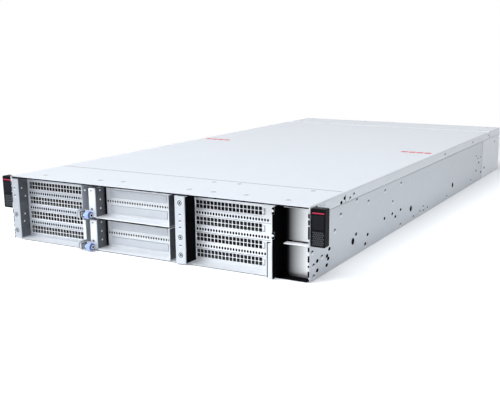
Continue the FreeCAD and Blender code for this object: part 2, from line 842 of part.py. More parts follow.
# Fan row: channel, frames and rotors
fan_y = front + s.fan_start
fan_end = fan_y + s.fan_depth
fan_floor = floor + s.sheet
channel = body("fan_channel")
channel_section = [
    (fan_y - s.sheet - s.tray_clear, floor),
    (fan_end + s.sheet + s.tray_clear, floor),
    (fan_end + s.sheet + s.tray_clear, floor + s.fan_lip),
    (fan_end + s.tray_clear, floor + s.fan_lip),
    (fan_end + s.tray_clear, fan_floor),
    (fan_y - s.tray_clear, fan_floor),
    (fan_y - s.tray_clear, floor + s.fan_lip),
    (fan_y - s.sheet - s.tray_clear, floor + s.fan_lip),
]
pad(channel, "YZ", -inner + 2, inner * 2 - 4, channel_section)
node(channel, "fan_channel")
frames = []
fan_z = fan_floor + s.fan_size / 2
fan_pitch = (inner - s.fan_margin) * 2 / s.fan_count
plate_y = fan_end - s.strut
hub_end = plate_y - s.rotor_gap
hub_y = hub_end - s.rotor_depth
for index in range(int(s.fan_count.value)):
    centre = fan_pitch * (index - (s.fan_count - 1) / 2)
    side = s.fan_size / 2
    frame = body(f"fan_frame_{index + 1}")
    outline = rect(centre - side, centre + side, fan_floor, fan_floor + s.fan_size)
    pad(frame, "XZ", fan_y, s.fan_depth, outline, circle(centre, fan_z, s.fan_bore))
    reach = s.fan_bore + 0.6
    pad(frame, "XZ", plate_y, s.strut, rect(centre - reach, centre + reach, fan_z - 2, fan_z + 2))
    pad(frame, "XZ", plate_y, s.strut, rect(centre - 2, centre + 2, fan_z - reach, fan_z + reach))
    pad(frame, "XZ", plate_y, s.strut, polygon(centre, fan_z, s.seat_radius, 8))
    pocket(frame, "XZ", plate_y, s.strut, circle(centre, fan_z, s.shaft_radius + s.fit_clear))
    frames.append(frame)

    rotor = body(f"fan_rotor_{index + 1}")
    hub = pad(rotor, "XZ", hub_y, s.rotor_depth, polygon(0, 0, s.rotor_hub, 24))
    hub_sketch = hub.Profile[0]
    bind(hub_sketch, "AttachmentOffset.Base.x", centre)
    bind(hub_sketch, "AttachmentOffset.Base.y", fan_z)
    pad(rotor, "XZ", hub_end, s.rotor_gap + s.strut - 0.3, circle(centre, fan_z, s.shaft_radius))
    blade_section = [
        (centre - 11, hub_y + 2),
        (centre - 9.2, hub_y + 2),
        (centre + 2.6, hub_y + 11.4),
        (centre + 11, hub_y + s.rotor_depth - 2),
        (centre + 9.2, hub_y + s.rotor_depth - 2),
        (centre + 0.8, hub_y + 12),
    ]
    root = fan_z + s.rotor_hub * 0.8
    blade = pad(rotor, "XY", root, s.rotor_reach - s.rotor_hub * 0.8, blade_section)
    spread = rotor.newObject("PartDesign::PolarPattern", f"fan_blades_{index + 1}")
    spread.Originals = [blade]
    spread.Axis = (hub_sketch, ["N_Axis"])
    spread.Angle = 360
    bind(spread, "Occurrences", s.rotor_blades)
    rotor.Tip = spread
    node(rotor, f"fan_rotor_{index + 1}")
node(group("fan_frames", frames), "fan_frames")

# Main board, stepped round the power supplies
board = body("main_board")
board_step = psu_left - 8
board_outline = [
    (-board_x, board_y),
    (board_x, board_y),
    (board_x, board_end),
    (board_step, board_end),
    (board_step, wall_end - 1),
    (-board_x, wall_end - 1),
]
pad(board, "XY", board_low, s.board_thick, board_outline)
node(board, "main_board")

# Processor heat sinks, with memory banks on both sides of each
sinks = []
memory = {"left": [], "right": []}
bank_sockets = []
sink_y = board_y + s.memory_start + 8
memory_y = board_y + s.memory_start
quarter = board_x / 2
for side, sign in (("left", -1), ("right", 1)):
    centre = quarter * sign
    sink = body(f"{side}_heat_sink")
    sink_x = centre - s.sink_width / 2
    base_z = board_top + s.sink_base
    pad(sink, "XZ", sink_y + 20, s.sink_length - 40, rect(centre - 30, centre + 30, board_top, base_z))
    fin_low = base_z + s.sink_base
    pad(sink, "XZ", sink_y, s.sink_length, rect(sink_x, sink_x + s.sink_width, base_z, fin_low))
    fin_top = board_top + s.sink_height
    fin = pad(sink, "XZ", sink_y, s.sink_length, rect(sink_x, sink_x + s.fin_sheet, fin_low, fin_top))
    repeat(sink, fin, "H_Axis", (s.sink_width - s.fin_sheet) / (s.sink_fins - 1), s.sink_fins)
    sinks.append(sink)
    for index, bank_side in enumerate((-1, 1)):
        bank_x = centre + (s.sink_width / 2 + 3) * bank_side - (s.bank_width if bank_side < 0 else 0)
        pitch = s.bank_width / s.bank_count
        socket = box(
            f"{side}_bank_{index}",
            (bank_x, bank_x + s.bank_width),
            (memory_y - 5, memory_y + s.memory_length + 5),
            (board_top, board_top + s.socket_height),
        )
        bank_sockets.append(socket)
        bank = body(f"{side}_memory_{index}")
        edge = bank_x + pitch / 2 - s.memory_thick / 2
        module = pad(
            bank,
            "XY",
            board_top + s.socket_height,
            s.memory_height,
            rect(edge, edge + s.memory_thick, memory_y, memory_y + s.memory_length),
        )
        repeat(bank, module, "H_Axis", pitch, s.bank_count)
        memory[side].append(bank)
node(group("heat_sinks", sinks), "heat_sinks")
node(group("memory_sockets", bank_sockets), "memory_sockets")
for side in ("left", "right"):
    node(group(f"{side}_memory", memory[side]), f"{side}_memory")

# Power supply bay: a wall with a shelf between the two units
bay_x = psu_left - s.psu_clear - s.sheet
psu_low = floor + s.psu_clear
psu_pitch = s.psu_height + s.psu_clear * 2 + s.shelf_sheet
psu_shelf = psu_low + s.psu_height + s.psu_clear
bay = body("psu_bay")
bay_section = [
    (bay_x, floor),
    (bay_x + s.sheet, floor),
    (bay_x + s.sheet, psu_shelf),
    (inner - s.sheet, psu_shelf),
    (inner - s.sheet, psu_shelf + s.shelf_sheet),
    (bay_x + s.sheet, psu_shelf + s.shelf_sheet),
    (bay_x + s.sheet, psu_top),
    (bay_x, psu_top),
]
pad(bay, "XZ", psu_front - 8, wall_end - psu_front + 8, bay_section)
node(bay, "psu_bay")


def power_supply(name, low):
    """One hot-swap unit with air vents, mains inlet, pull handle and release latch."""
    middle = low + s.psu_height / 2
    inlet_x = psu_right - 1 - s.inlet_width
    case = body(f"{name}_case")
    pad(case, "XZ", psu_front, s.psu_length, rect(psu_left, psu_right, low, low + s.psu_height))
    inlet_low = middle - s.inlet_height / 2
    inlet_hole = rect(inlet_x, inlet_x + s.inlet_width, inlet_low, inlet_low + s.inlet_height)
    pocket(case, "XZ", rear - s.inlet_depth, s.inlet_depth, inlet_hole)
    vent = pocket(case, "XZ", rear - 12, 12, rect(psu_left + 5, psu_left + 11, low + 4, low + 8))
    repeat(case, vent, "H_Axis", as_size(8), 4, as_size(5.6), 6)
    node(case, f"{name}_case")

    inlet = body(f"{name}_inlet")
    gap = 0.2
    inlet_y = rear - s.inlet_depth
    inlet_end = inlet_x + s.inlet_width
    inlet_high = inlet_low + s.inlet_height
    shell = rect(inlet_x + gap, inlet_end - gap, inlet_low + gap, inlet_high - gap)
    pad(inlet, "XZ", inlet_y, s.inlet_depth, shell)
    well = rect(inlet_x + 1.8, inlet_end - 1.8, inlet_low + 2, inlet_high - 2)
    pocket(inlet, "XZ", inlet_y + 2, s.inlet_depth - 2, well)
    pin_x = inlet_x + s.inlet_width / 2
    for across, up in ((-7, -2), (0, 2), (7, -2)):
        blade = rect(pin_x + across - 1, pin_x + across + 1, middle + up - 2, middle + up + 2)
        pad(inlet, "XZ", inlet_y + 2, s.inlet_depth - 8, blade)
    node(inlet, f"{name}_inlet")

    handle = body(f"{name}_handle")
    leg = s.handle_sheet
    grip_x = psu_left + 2
    grip_end = grip_x + s.handle_width
    reach = rear + s.handle_reach
    loop = [
        (grip_x, rear),
        (grip_x + leg, rear),
        (grip_x + leg, reach - leg - 3),
        (grip_x + leg + 3, reach - leg),
        (grip_end - leg - 3, reach - leg),
        (grip_end - leg, reach - leg - 3),
        (grip_end - leg, rear),
        (grip_end, rear),
        (grip_end, reach - 4),
        (grip_end - 4, reach),
        (grip_x + 4, reach),
        (grip_x, reach - 4),
    ]
    pad(handle, "XY", middle - s.handle_height / 2, s.handle_height, loop)
    node(handle, f"{name}_handle")

    latch = body(f"{name}_latch")
    latch_x = grip_end + 3.5
    latch_low = middle - s.latch_height / 2
    hinge_y = rear + s.pin_clear + s.latch_barrel
    tongue = [
        (latch_x, hinge_y),
        (latch_x + s.latch_sheet, hinge_y),
        (latch_x + s.latch_sheet, rear + s.latch_reach - 3),
        (latch_x + s.latch_sheet + 2, rear + s.latch_reach),
        (latch_x, rear + s.latch_reach),
    ]
    pad(latch, "XY", latch_low, s.latch_height, tongue)
    barrel = circle(latch_x + s.latch_sheet / 2, hinge_y, s.latch_barrel)
    pad(latch, "XY", latch_low, s.latch_height, barrel)
    node(latch, f"{name}_latch")


power_supply("lower_psu", psu_low)
power_supply("upper_psu", psu_low + psu_pitch)

# Blank brackets of the rear slots
rear_brackets = []
for index in range(int(s.rear_slot_count.value)):
    middle = s.rear_slot_low + s.slot_pitch * index
    bracket = body(f"rear_bracket_{index + 1}")
    low = middle - s.bracket_height / 2
    plate = rect(rear_slot_x - 3, rear_slot_x - 3 + s.bracket_length, low, low + s.bracket_height)
    pad(bracket, "XZ", wall_end - s.bracket_sheet, s.bracket_sheet, plate)
    hole = rect(rear_slot_x + 4, rear_slot_x + 15, middle - 2, middle + 2)
    vent = pocket(bracket, "XZ", wall_end - s.bracket_sheet, s.bracket_sheet, hole)
    repeat(bracket, vent, "H_Axis", as_size(14.4), 6)
    rear_brackets.append(bracket)
node(group("rear_slot_brackets", rear_brackets), "rear_slot_brackets")

# Row of sockets on the rear edge of the main board
ports = []
for index in range(int(s.port_count.value)):
    start = port_x + s.port_pitch * index
    port = body(f"port_{index + 1}")
    outline = rect(start, start + s.port_width, board_top, board_top + s.port_height)
    pad(port, "XZ", rear - s.port_depth, s.port_depth, outline)
    well = rect(start + 2, start + s.port_width - 2, board_top + 2.4, board_top + s.port_height - 2.4)
    pocket(port, "XZ", rear - s.port_depth + 4, s.port_depth - 4, well)
    ports.append(port)
node(group("rear_ports", ports), "rear_ports")

doc.recompute()
for thing in doc.Objects:
    if "Invalid" in thing.State or "Error" in thing.State:
        raise RuntimeError(f"{thing.Label}: {thing.State}")
os.makedirs("parts", exist_ok=True)
for thing in nodes:
    shape = thing.Shape
    if shape.isNull() or not shape.isValid() or not shape.Solids:
        raise RuntimeError(f"{thing.Label} has no sound solid")
    shape.exportStep(f"parts/{thing.Label}.step")
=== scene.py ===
import json
import math
import bmesh
import bpy
from bpy.props import FloatProperty, FloatVectorProperty, PointerProperty
from mathutils import Matrix, Vector


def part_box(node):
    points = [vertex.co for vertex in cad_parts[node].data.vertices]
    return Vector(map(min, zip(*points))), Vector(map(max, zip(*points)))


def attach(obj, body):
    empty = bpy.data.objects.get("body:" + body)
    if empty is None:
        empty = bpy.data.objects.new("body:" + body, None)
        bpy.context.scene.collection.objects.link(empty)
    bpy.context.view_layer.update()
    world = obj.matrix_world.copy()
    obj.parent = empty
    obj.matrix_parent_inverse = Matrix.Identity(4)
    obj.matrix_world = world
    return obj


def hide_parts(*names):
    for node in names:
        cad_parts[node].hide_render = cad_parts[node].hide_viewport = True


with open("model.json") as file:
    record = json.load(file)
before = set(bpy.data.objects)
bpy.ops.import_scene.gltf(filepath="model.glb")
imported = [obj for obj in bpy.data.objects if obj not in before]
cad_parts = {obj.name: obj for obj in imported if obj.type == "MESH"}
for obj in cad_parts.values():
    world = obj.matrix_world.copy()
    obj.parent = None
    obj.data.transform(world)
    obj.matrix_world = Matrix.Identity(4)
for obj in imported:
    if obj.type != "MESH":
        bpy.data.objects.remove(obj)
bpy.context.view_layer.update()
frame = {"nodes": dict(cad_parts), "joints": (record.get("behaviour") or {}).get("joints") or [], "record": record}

bl_info = {
    "name": "Rack server looks",
    "version": (2, 0, 0),
    "blender": (4, 5, 0),
    "location": "View3D > Sidebar > Server",
    "description": "Dresses a rack server with sheet metal, plastic and board finishes on a studio stage",
    "category": "Object",
}

# The script works in millimetres, and the frame and the scene are in metres
MM = 0.001


def box(node):
    """The low and high corners of a frame piece, in millimetres."""
    low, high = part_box(node)
    return low / MM, high / MM


# Planes of the chassis, the slots and the trays, read from the frame
HALF = box("right_side_wall")[1].x
TOP = box("top_cover")[1].z
FRONT = box("base_pan")[0].y
REAR = box("base_pan")[1].y
BOARD_TOP = box("main_board")[1].z
BRACKET_FACE = box("left_slot_brackets")[0].y
SLOT_PLANE = BRACKET_FACE - 1.2
SLOT_LOW = 11.2
SLOT_PITCH = 20.32
TRAY_FACE = box("lower_tray_covers")[0].y + 0.8
FANS = {j["child"]: Vector(j["pos_m"]) / MM for j in frame["joints"] if j["child"].startswith("fan_rotor")}

# Front lip of the right cage, thickness of a lining of painted shade, and the heights and depth that these linings
# reach
LIP_WIDTH = 5.4
SKIN = 0.15
LINING_LOW = 2.4
LINING_HIGH = 83.6
LINING_BACK = SLOT_PLANE - 0.4

TIERS = ("lower", "upper")
SIDES = (-1, 1)
UP = (0, 0, 1)
AHEAD = (0, -1, 0)
RIGHT = (1, 0, 0)
WHITE = (1.0, 1.0, 1.0, 1.0)

# Materials by name, filled by the finishes and the floor
materials = {}


class ServerFinish(bpy.types.PropertyGroup):
    """Colours of the main finishes and sizes of the surface detail."""

    sheet_color: FloatVectorProperty(
        name="Sheet colour", description="Colour of the zinc sheets",
        default=(0.655, 0.685, 0.735), subtype="COLOR",
    )
    knob_color: FloatVectorProperty(
        name="Knob colour", description="Colour of the plunger knobs",
        default=(0.37, 0.505, 0.875), subtype="COLOR",
    )
    mark_color: FloatVectorProperty(
        name="Mark colour", description="Colour of the printed bars",
        default=(0.57, 0.03, 0.08), subtype="COLOR",
    )
    latch_color: FloatVectorProperty(
        name="Latch colour", description="Colour of the supply latches",
        default=(0.57, 0.18, 0.065), subtype="COLOR",
    )
    edge_round: FloatProperty(
        name="Edge round", description="Width of softened sheet edges", default=0.0003, unit="LENGTH"
    )
    fold_radius: FloatProperty(
        name="Fold radius", description="Outer radius of the top sheets' folds", default=0.0022, unit="LENGTH"
    )
    sink: FloatProperty(
        name="Sheet drop", description="Room over the top sheets for flat marks",
        default=0.00005, unit="LENGTH",
    )
    lift: FloatProperty(
        name="Mark lift", description="Height of flat marks over their sheet", default=0.00002, unit="LENGTH"
    )
    screw_radius: FloatProperty(
        name="Screw radius", description="Head radius of the flush screws", default=0.0026, unit="LENGTH"
    )
    dimple_radius: FloatProperty(
        name="Dimple radius", description="Radius of the small pressed dimples", default=0.0021, unit="LENGTH"
    )
    dot_radius: FloatProperty(
        name="Dot radius", description="Radius of the pin holes between slots", default=0.0013, unit="LENGTH"
    )
    dot_pitch: FloatProperty(
        name="Dot pitch", description="Distance between pin holes", default=0.0039, unit="LENGTH"
    )


class ServerStage(bpy.types.PropertyGroup):
    """Camera and light of the studio."""

    place: FloatVectorProperty(
        name="Camera place", description="Camera position", default=(0.5896, -1.2313, 0.2647), unit="LENGTH"
    )
    azimuth: FloatProperty(
        name="Azimuth", description="Turn of the view left of plus Y",
        default=math.radians(27.81), subtype="ANGLE",
    )
    elevation: FloatProperty(
        name="Elevation", description="Downward tilt of the view",
        default=math.radians(13.12), subtype="ANGLE",
    )
    lens: FloatProperty(name="Lens", description="Focal length in millimetres", default=57.38)
    shift: FloatVectorProperty(
        name="Shift", description="Offset of the image from the lens axis", size=2, default=(-0.054, 0.0515)
    )
    overhead: FloatProperty(
        name="Overhead", description="Power of the overhead light in watts", default=50, subtype="POWER"
    )
    front_light: FloatProperty(
        name="Front light", description="Power of the front left light in watts", default=23, subtype="POWER"
    )
    side_light: FloatProperty(
        name="Side light", description="Power of the right rear light in watts", default=1.2, subtype="POWER"
    )
    ambient: FloatProperty(
        name="Ambient", description="Strength of the surrounding light on its bright side", default=0.4
    )


# Helpers for node trees

def put(tree, node, values):
    """Set a node's inputs, each to a value or to an output given as a node and a socket."""
    for key, given in values.items():
        if isinstance(given, tuple) and isinstance(given[0], bpy.types.Node):
            tree.links.new(given[0].outputs[given[1]], node.inputs[key])
        else:
            node.inputs[key].default_value = given


def add(tree, kind, values=None, **settings):
    """A new node with its settings and inputs."""
    node = tree.nodes.new(kind)
    for key, setting in settings.items():
        setattr(node, key, setting)
    put(tree, node, values or {})
    return node


def find(tree, kind):
    """The first node of a type."""
    return next(node for node in tree.nodes if node.type == kind)


def calc(tree, operation, first, second, clamp=False):
    """The output of a sum on two values or outputs."""
    return add(tree, "ShaderNodeMath", {0: first, 1: second}, operation=operation, use_clamp=clamp), 0


def blend(tree, factor, first, second, **settings):
    """The output of a mix of two colours or outputs."""
    values = {"Factor": factor, "A": first, "B": second}
    return add(tree, "ShaderNodeMix", values, data_type="RGBA", **settings), 2


def shader_group(name, inputs, outputs):
    """An empty shared shader group with number inputs and named outputs, and its input node."""
    tree = bpy.data.node_groups.new(name, "ShaderNodeTree")
    for label, default in inputs.items():
        socket = tree.interface.new_socket(label, in_out="INPUT", socket_type="NodeSocketFloat")
        socket.default_value = default
    for label, kind in outputs.items():
        tree.interface.new_socket(label, in_out="OUTPUT", socket_type=kind)
    return tree, add(tree, "NodeGroupInput")


def group(tree, name, **values):
    """A shared shader group with its inputs."""
    return add(tree, "ShaderNodeGroup", values, node_tree=bpy.data.node_groups[name])


def make_grain_group():
    """Zinc spangle with faint rolling streaks: a shade value and a bumped normal."""
    outputs = {"Shade": "NodeSocketFloat", "Normal": "NodeSocketVector"}
    tree, given = shader_group("SheetGrain", {"Cell": 260.0, "Depth": 0.04}, outputs)
    place = (add(tree, "ShaderNodeTexCoord"), "Object")
    cells = add(tree, "ShaderNodeTexVoronoi", {"Vector": place, "Scale": (given, "Cell"), "Randomness": 1.0})
    stretch = add(tree, "ShaderNodeMapping", {"Vector": place, "Scale": (900.0, 9.0, 900.0)})
    streaks = add(tree, "ShaderNodeTexNoise", {"Vector": (stretch, "Vector"), "Scale": 1.0, "Detail": 3.0})
    broad = add(tree, "ShaderNodeTexNoise", {"Vector": place, "Scale": 7.0, "Detail": 4.0})
    tone = add(tree, "ShaderNodeSeparateColor", {"Color": (cells, "Color")})
    first = add(tree, "ShaderNodeMix", {"Factor": 0.45, "A": (tone, "Red"), "B": (streaks, "Fac")})
    second = add(tree, "ShaderNodeMix", {"Factor": 0.5, "A": (first, "Result"), "B": (broad, "Fac")})
    relief = {"Distance": 0.0002, "Strength": (given, "Depth"), "Height": (streaks, "Fac")}
    bump = add(tree, "ShaderNodeBump", relief)
    add(tree, "NodeGroupOutput", {"Shade": (second, "Result"), "Normal": (bump, "Normal")})


def make_dust_group():
    """Soft dust that gathers on upward faces: a mask."""
    tree, given = shader_group("DustFilm", {"Amount": 0.1}, {"Mask": "NodeSocketFloat"})
    place = (add(tree, "ShaderNodeTexCoord"), "Object")
    noise = {"Vector": place, "Scale": 18.0, "Detail": 6.0, "Roughness": 0.6}
    patches = add(tree, "ShaderNodeTexNoise", noise)
    shape = add(tree, "ShaderNodeNewGeometry")
    split = add(tree, "ShaderNodeSeparateXYZ", {"Vector": (shape, "Normal")})
    facing = calc(tree, "MAXIMUM", (split, "Z"), 0.15)
    weighted = calc(tree, "MULTIPLY", facing, (patches, "Fac"))
    scaled = calc(tree, "MULTIPLY", weighted, (given, "Amount"), clamp=True)
    add(tree, "NodeGroupOutput", {"Mask": scaled})


def make_texture_group():
    """Fine moulded or sprayed texture: a value and a bumped normal."""
    outputs = {"Value": "NodeSocketFloat", "Normal": "NodeSocketVector"}
    tree, given = shader_group("FineTexture", {"Scale": 2500.0, "Depth": 0.1}, outputs)
    place = (add(tree, "ShaderNodeTexCoord"), "Object")
    noise = add(tree, "ShaderNodeTexNoise", {"Vector": place, "Scale": (given, "Scale"), "Detail": 2.0})
    relief = {"Distance": 0.0002, "Strength": (given, "Depth"), "Height": (noise, "Fac")}
    bump = add(tree, "ShaderNodeBump", relief)
    add(tree, "NodeGroupOutput", {"Value": (noise, "Fac"), "Normal": (bump, "Normal")})


# Helpers for materials

def new_material(name):
    """A material with one Principled shader."""
    material = bpy.data.materials.new(name)
    material.use_nodes = True
    materials[name] = material
    return material.node_tree, find(material.node_tree, "BSDF_PRINCIPLED")


def shades(color, spread):
    """A darker and a lighter shade about a colour."""
    return [tuple(part * factor for part in color) for factor in (1 - spread, 1 + spread)]


def dress(tree, surface, color, grain, rough, **values):
    """Give a shader its colour, a roughness between two values that follows a grain, and more inputs."""
    spread = add(tree, "ShaderNodeMapRange", {"Value": grain, "To Min": rough[0], "To Max": rough[1]})
    put(tree, surface, {"Base Color": color, "Roughness": (spread, "Result"), "Normal": (grain[0], "Normal")})
    put(tree, surface, {key.replace("_", " "): given for key, given in values.items()})


def painted_reflection_fade(tree, color, start, end):
    """A painted reflection of shade: near black at one X, going over to the colour at another."""
    place = add(tree, "ShaderNodeTexCoord")
    parts = add(tree, "ShaderNodeSeparateXYZ", {"Vector": (place, "Object")})
    fade = add(tree, "ShaderNodeMapRange", {"Value": (parts, "X"), "From Min": start, "From Max": end})
    return blend(tree, (fade, "Result"), (0.002, 0.002, 0.003, 1.0), color)


def metal(name, dark, light, rough, metallic=1.0, cell=260.0, depth=0.04, dust=0.06, reflection_fade=None):
    """A sheet metal with spangle, streaks, a trace of dust and, between two places along X, a painted reflection
    of shade.
    """
    tree, surface = new_material(name)
    grain = (group(tree, "SheetGrain", Cell=cell, Depth=depth), "Shade")
    film = (group(tree, "DustFilm", Amount=dust), "Mask")
    tint = blend(tree, grain, (*dark, 1.0), (*light, 1.0))
    color = blend(tree, film, tint, (0.55, 0.54, 0.52, 1.0))
    if reflection_fade:
        color = painted_reflection_fade(tree, color, *reflection_fade)
    dress(tree, surface, color, grain, (rough - 0.05, rough + 0.07), Metallic=metallic)


def plastic(name, dark, light, rough, scale=2500.0, depth=0.1, coat=0.0, gloss=0.5):
    """A moulded plastic with a fine grain."""
    tree, surface = new_material(name)
    grain = (group(tree, "FineTexture", Scale=scale, Depth=depth), "Value")
    color = blend(tree, grain, (*dark, 1.0), (*light, 1.0))
    span = (rough - 0.06, rough + 0.06)
    dress(tree, surface, color, grain, span, Coat_Weight=coat, Specular_IOR_Level=gloss)


def circuit_board(name, dark, light, copper):
    """Solder mask with a maze of traces under it."""
    tree, surface = new_material(name)
    place = add(tree, "ShaderNodeTexCoord")
    maze = {"Vector": (place, "Object"), "Scale": 140.0, "Mortar Size": 0.08, "Bias": -0.2}
    colors = {"Color1": (*dark, 1.0), "Color2": (*light, 1.0), "Mortar": (*copper, 1.0)}
    traces = add(tree, "ShaderNodeTexBrick", {**maze, **colors})
    film = group(tree, "FineTexture", Scale=400.0, Depth=0.05)
    veil = blend(tree, (film, "Value"), (0.4, 0.4, 0.4, 1.0), WHITE)
    color = blend(tree, 0.35, (traces, "Color"), veil, blend_type="MULTIPLY")
    looks = {"Base Color": color, "Roughness": 0.38, "Coat Weight": 0.3, "Normal": (film, "Normal")}
    put(tree, surface, looks)


def paint(material, *names):
    """One material on frame pieces."""
    for name in names:
        mesh = frame["nodes"][name].data
        mesh.materials.clear()
        mesh.materials.append(materials[material])


# Helpers for meshes, in millimetres

def plain_object(name, mesh):
    """An object at the origin."""
    thing = bpy.data.objects.new(name, mesh)
    bpy.context.scene.collection.objects.link(thing)
    return thing


def mesh_from(name, build, material, bevel=0.0, smooth=False):
    """An object whose mesh a function fills, with optional rounded edges and smooth shading."""
    shape = bmesh.new()
    build(shape)
    for vert in shape.verts:
        vert.co *= MM
    if bevel:
        sharp = [e for e in shape.edges if len(e.link_faces) == 2 and e.calc_face_angle(0.0) > 0.6]
        bmesh.ops.bevel(shape, geom=sharp, offset=bevel * MM, segments=2, affect="EDGES", clamp_overlap=True)
    bmesh.ops.recalc_face_normals(shape, faces=shape.faces)
    mesh = bpy.data.meshes.new(name)
    shape.to_mesh(mesh)
    shape.free()
    if smooth:
        for face in mesh.polygons:
            face.use_smooth = True
        mesh.set_sharp_from_angle(angle=math.radians(40))
    mesh.materials.append(materials[material])
    return plain_object(name, mesh)


def carried(piece, body, nodes=()):
    """Fix a piece to a body, and hide the frame pieces that it stands for."""
    if nodes:
        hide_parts(*nodes)
    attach(piece, body)


def block(shape, low, high):
    """A box between two corners."""
    size = [b - a for a, b in zip(low, high)]
    middle = [(a + b) / 2 for a, b in zip(low, high)]
    place = Matrix.Translation(middle) @ Matrix.Diagonal((*size, 1.0))
    bmesh.ops.create_cube(shape, size=1.0, matrix=place)


def blocks(name, corners, material, body, bevel=0.0):
    """Several boxes as one piece on a body."""
    def build(shape):
        for low, high in corners:
            block(shape, low, high)
    carried(mesh_from(name, build, material, bevel), body)


def loft(shape, rings, closed=False):
    """Faces between rings of points, going round to the first ring or with flat ends."""
    following = rings[1:]
    if closed:
        following += rings[:1]
    else:
        shape.faces.new(rings[0])
        shape.faces.new(rings[-1])
    for here, there in zip(rings, following):
        for step, point in enumerate(here):
            after = (step + 1) % len(here)
            shape.faces.new((point, here[after], there[after], there[step]))


def prism(shape, outline, start, end):
    """An outline in the X-Z plane drawn out along Y."""
    loft(shape, [[shape.verts.new((x, y, z)) for x, z in outline] for y in (start, end)])


def rounded(x0, x1, z0, z1, radius):
    """Outline of a rectangle with round corners."""
    steps = 4
    points = []
    for x, z, turn in ((x1, z1, 0), (x0, z1, 90), (x0, z0, 180), (x1, z0, 270)):
        cx = x - radius if x == x1 else x + radius
        cz = z - radius if z == z1 else z + radius
        for step in range(steps + 1):
            angle = math.radians(turn + 90 * step / steps)
            points.append((cx + radius * math.cos(angle), cz + radius * math.sin(angle)))
    return points


def lathe(shape, profile, place, axis, steps=40, closed=False):
    """A profile of distance and radius turned about a line along X or Y, as a ring or with flat ends."""
    rings = []
    for along, radius in profile:
        ring = []
        for step in range(steps):
            angle = 2 * math.pi * step / steps
            out, up = radius * math.cos(angle), radius * math.sin(angle)
            offset = (along, out, up) if axis == "x" else (out, along, up)
            ring.append(shape.verts.new(Vector(place) + Vector(offset)))
        rings.append(ring)
    loft(shape, rings, closed)


def soften(name, width):
    """Rounded edges on a frame piece, as modifiers that leave its mesh alone."""
    thing = frame["nodes"][name]
    weld = thing.modifiers.new("Weld", "WELD")
    weld.merge_threshold = 1e-6
    bevel = thing.modifiers.new("Round", "BEVEL")
    bevel.width = width
    bevel.segments = 2
    bevel.limit_method = "ANGLE"
    bevel.angle_limit = math.radians(35)


# Helpers for small pieces that repeat

MAKERS = {
    "disc": ("GeometryNodeMeshCircle", {"Vertices": 20, "Radius": 1.0}, {"fill_type": "NGON"}),
    "dome": ("GeometryNodeMeshUVSphere", {"Segments": 16, "Rings": 8, "Radius": 1.0}, {}),
    "post": ("GeometryNodeMeshCylinder", {"Vertices": 20, "Radius": 1.0, "Depth": 1.0}, {}),
    "cube": ("GeometryNodeMeshCube", {"Size": (1.0, 1.0, 1.0)}, {}),
}


def repeat_tree(name, *layers):
    """A node tree that sets one small piece on every point, with each layer's size and offset in radii."""
    tree = bpy.data.node_groups.new(name, "GeometryNodeTree")
    tree.interface.new_socket("Geometry", in_out="INPUT", socket_type="NodeSocketGeometry")
    tree.interface.new_socket("Radius", in_out="INPUT", socket_type="NodeSocketFloat")
    tree.interface.new_socket("Geometry", in_out="OUTPUT", socket_type="NodeSocketGeometry")
    given = add(tree, "NodeGroupInput")
    joined = add(tree, "GeometryNodeJoinGeometry")
    aim = add(tree, "GeometryNodeInputNamedAttribute", {"Name": "aim"}, data_type="FLOAT_VECTOR")
    turn = add(tree, "FunctionNodeEulerToRotation", {"Euler": (aim, "Attribute")})
    for kind, material, size, *offset in layers:
        node_type, values, settings = MAKERS[kind]
        moves = {"Geometry": (add(tree, node_type, values, **settings), "Mesh")}
        for socket, ratio in (("Scale", size), ("Translation", *(offset or [(0.0, 0.0, 0.0)]))):
            scaling = {0: ratio, "Scale": (given, "Radius")}
            moves[socket] = (add(tree, "ShaderNodeVectorMath", scaling, operation="SCALE"), "Vector")
        moved = add(tree, "GeometryNodeTransform", moves)
        spread = {"Points": (given, "Geometry"), "Instance": (moved, "Geometry")}
        placed = add(tree, "GeometryNodeInstanceOnPoints", {**spread, "Rotation": (turn, "Rotation")})
        real = add(tree, "GeometryNodeRealizeInstances", {"Geometry": (placed, "Instances")})
        painting = {"Geometry": (real, "Geometry"), "Material": materials[material]}
        put(tree, joined, {"Geometry": (add(tree, "GeometryNodeSetMaterial", painting), "Geometry")})
    add(tree, "NodeGroupOutput", {"Geometry": (joined, "Geometry")})


def points_object(name, places, aim):
    """A cloud of points that all face one way."""
    mesh = bpy.data.meshes.new(name)
    mesh.from_pydata([Vector(place) * MM for place in places], [], [])
    turn = mesh.attributes.new("aim", "FLOAT_VECTOR", "POINT")
    euler = Vector(aim).to_track_quat("Z", "Y").to_euler()
    for item in turn.data:
        item.vector = euler
    return plain_object(name, mesh)


def repeated(name, tree, places, aim, radius, body="chassis"):
    """The tree's small piece on each place, made into a plain mesh that rides on a body."""
    cloud = points_object(name + "_points", places, aim)
    maker = cloud.modifiers.new("Repeat", "NODES")
    maker.node_group = bpy.data.node_groups[tree]
    for item in maker.node_group.interface.items_tree:
        if item.in_out == "INPUT" and item.name == "Radius":
            maker[item.identifier] = radius * MM
    ready = cloud.evaluated_get(bpy.context.evaluated_depsgraph_get())
    mesh = bpy.data.meshes.new_from_object(ready)
    bpy.data.objects.remove(cloud)
    mesh.name = name
    piece = plain_object(name, mesh)
    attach(piece, body)
    return piece


